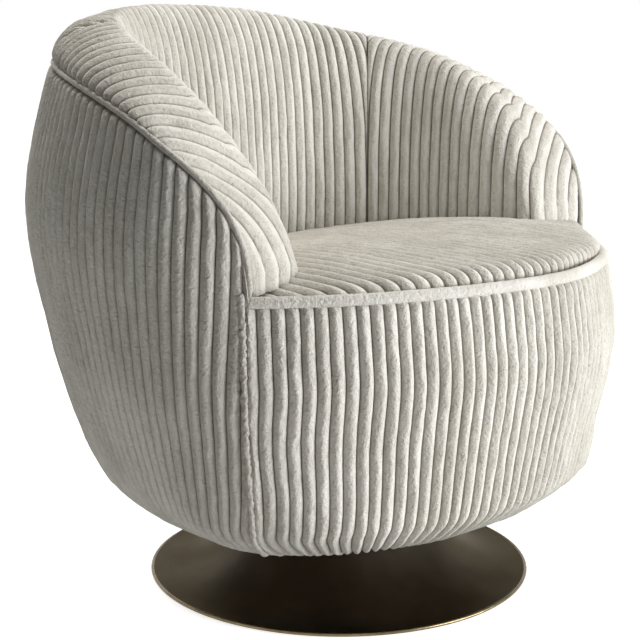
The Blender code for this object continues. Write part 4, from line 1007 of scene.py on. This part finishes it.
def make_base():
    """The spun trumpet disc, in one closed turned shell, and its bright rolled rim."""
    foot = RIM_GAP + 2.0 * BEAD
    t = np.linspace(0.0, 1.0, 60)
    radius = mix(RIM_RADIUS - BEAD - 0.0012, FLANGE_RADIUS, t)
    height = foot - 0.0008 + (FLANGE_Z - foot) * t**TRUMPET_POWER
    slope = np.gradient(height) / np.gradient(radius)
    outer = np.stack((radius, height), axis=1)
    inner = outer + SHEET * np.stack((slope, -np.ones_like(slope)), axis=1) / np.sqrt(1 + slope**2)[:, None]
    below = FLANGE_Z - SHEET
    flange = ((FLANGE_LIP, FLANGE_Z), (BORE, FLANGE_Z), (BORE, below), (FLANGE_LIP, below))
    disc = turned("trumpet_disc", np.concatenate((outer, flange, inner[::-1])), bronze())
    disc.data.set_sharp_from_angle(angle=math.radians(40.0))
    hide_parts("base_cover")
    around = np.linspace(0.0, 2.0 * PI, 19)[:-1]
    bead = (RIM_RADIUS - BEAD, RIM_GAP + BEAD) + BEAD * np.stack((np.cos(around), np.sin(around)), axis=1)
    brass = metal("bright_rim", (0.13, 0.10, 0.055), (0.22, 0.175, 0.10), 0.18, 0.30, 40.0, grit=False)
    rim = turned("rolled_rim", bead, brass)


def dress_frame():
    """Procedural finishes on the solids that stay."""
    steel = metal("plain_steel", (0.3772, 0.3772, 0.3854), (0.46, 0.46, 0.47), 0.28, 0.45, 60.0)
    zinc = metal("zinc_plate", (0.5084, 0.5084, 0.492), (0.62, 0.62, 0.60), 0.25, 0.42, 90.0)
    felt = matt("grey_felt", (700.0, 3.0, 0.7), 0.3, 0.7, (0.13,) * 3, (0.27, 0.27, 0.26), 1.0, 0.0006, 0.8)
    rubber = matt("black_rubber", (500.0, 2.0, 0.6), 0.0, 1.0, (0.018,) * 3, (0.045,) * 3, 0.85, 0.0003, 0.5)
    kinds = {"plain_steel": steel, "zinc_plate": zinc, "birch_plywood": plywood(), "grey_felt": felt,
             "black_rubber": rubber}
    for entry in frame["record"]["subparts"]:
        finish = kinds.get(entry["material_slot"])
        if finish:
            for slot in frame["nodes"][entry["node"]].material_slots:
                slot.material = finish


# Stage: rays that see the white background, its level as a light, and where the floor turns fully white
RAYS = ("Is Camera Ray", "Is Glossy Ray", "Is Transmission Ray")
FILL, GREY_TO, WHITE_FROM = 0.03, 0.5, 2.6


def seen(net):
    camera, glossy, through = (net.node("ShaderNodeLightPath", output=ray) for ray in RAYS)
    return camera + glossy + through


def make_stage():
    """A white floor whose glow is a little greyer round the base, a painted grey pool of shade there, and a
    white world.
    """
    bpy.ops.mesh.primitive_plane_add(size=40.0, location=(0.0, 0.0, 0.0))
    floor = bpy.context.object
    floor.name = "studio_floor"
    f = Finish("studio_floor")
    away = f.node("ShaderNodeVectorMath", (f.where(),), output="Value", operation="LENGTH")
    # painted shade: the floor's glow is grey out to GREY_TO from the floor's middle and full white from
    # WHITE_FROM
    glow = f.blend(f.span(away, GREY_TO, WHITE_FROM), (0.80, 0.80, 0.80), (1.0, 1.0, 1.0))
    f.set(Base_Color=(0.86, 0.86, 0.855), Roughness=0.9, Emission_Strength=1.0,
          Emission_Color=f.blend(seen(f), (0.0, 0.0, 0.0), glow))
    floor.data.materials.append(f.material)
    world = bpy.data.worlds.new("studio")
    bpy.context.scene.world = world
    world.use_nodes = True
    net = Net(world.node_tree)
    net.feed(net.nodes["Background"].inputs["Color"], net.blend(seen(net), (FILL, FILL, FILL), (1.0, 1.0, 1.0)))


def lamp(name, place, aim, size, power, colour):
    """A round lamp that points at a height on the chair's axis."""
    data = bpy.data.lights.new(name, "AREA")
    data.shape = "DISK"
    data.size = size
    data.energy = power
    data.color = colour
    light = add_object(name, data)
    light.location = place
    light.rotation_euler = (Vector((0.0, 0.0, aim)) - Vector(place)).to_track_quat("-Z", "Y").to_euler()


def make_lights():
    daylight, room = (0.985, 0.995, 1.0), (1.0, 0.98, 0.94)
    lamp("window", (0.6, -3.2, 0.8), 0.40, 1.6, 77.0, daylight)
    lamp("side", (1.4, -2.6, 0.55), 0.40, 0.9, 37.0, daylight)
    lamp("top", (0.3, 0.0, 2.9), 0.5, 1.6, 39.0, room)
    lamp("back", (0.2, 1.6, 2.4), 0.5, 1.6, 36.0, room)


# Camera, fitted to the photograph's outline and seams
LENS, SENSOR = 77.2, 36.0
PLACE, AHEAD, RIGHT = (-1.3659, -1.0349, 0.6466), (0.7746, 0.6046, -0.1857), (0.6152, -0.7884, 0.0)


def make_camera():
    data = bpy.data.cameras.new("camera")
    data.lens = LENS
    data.sensor_width = SENSOR
    camera = add_object("camera", data)
    ahead, right = Vector(AHEAD).normalized(), Vector(RIGHT).normalized()
    axes = Matrix((right, right.cross(ahead), -ahead)).transposed()
    camera.matrix_world = Matrix.Translation(PLACE) @ axes.to_4x4()
    bpy.context.scene.camera = camera
    bpy.context.scene.view_settings.view_transform = "Standard"


make_camera()
make_stage()
make_lights()
dress_frame()
cover("outer_cover", "outer_wrap", True, 110, 11)
cover("apron_cover", "front_apron", False, 110, 21)
pad("wing_pad_left", "inside_wing_left", V_SEAM_ANGLE - GAP, CORNER_ANGLE + GAP, 132, 31)
pad("wing_pad_right", "inside_wing_right", 2.0 * PI - V_SEAM_ANGLE + GAP, 2.0 * PI - CORNER_ANGLE - GAP,
    132, 33, side=-1.0)
pad("back_pad", "inside_back", PI, V_SEAM_ANGLE + GAP, 120, 35, mirror=True)
make_cushion()
make_piping()
make_base()
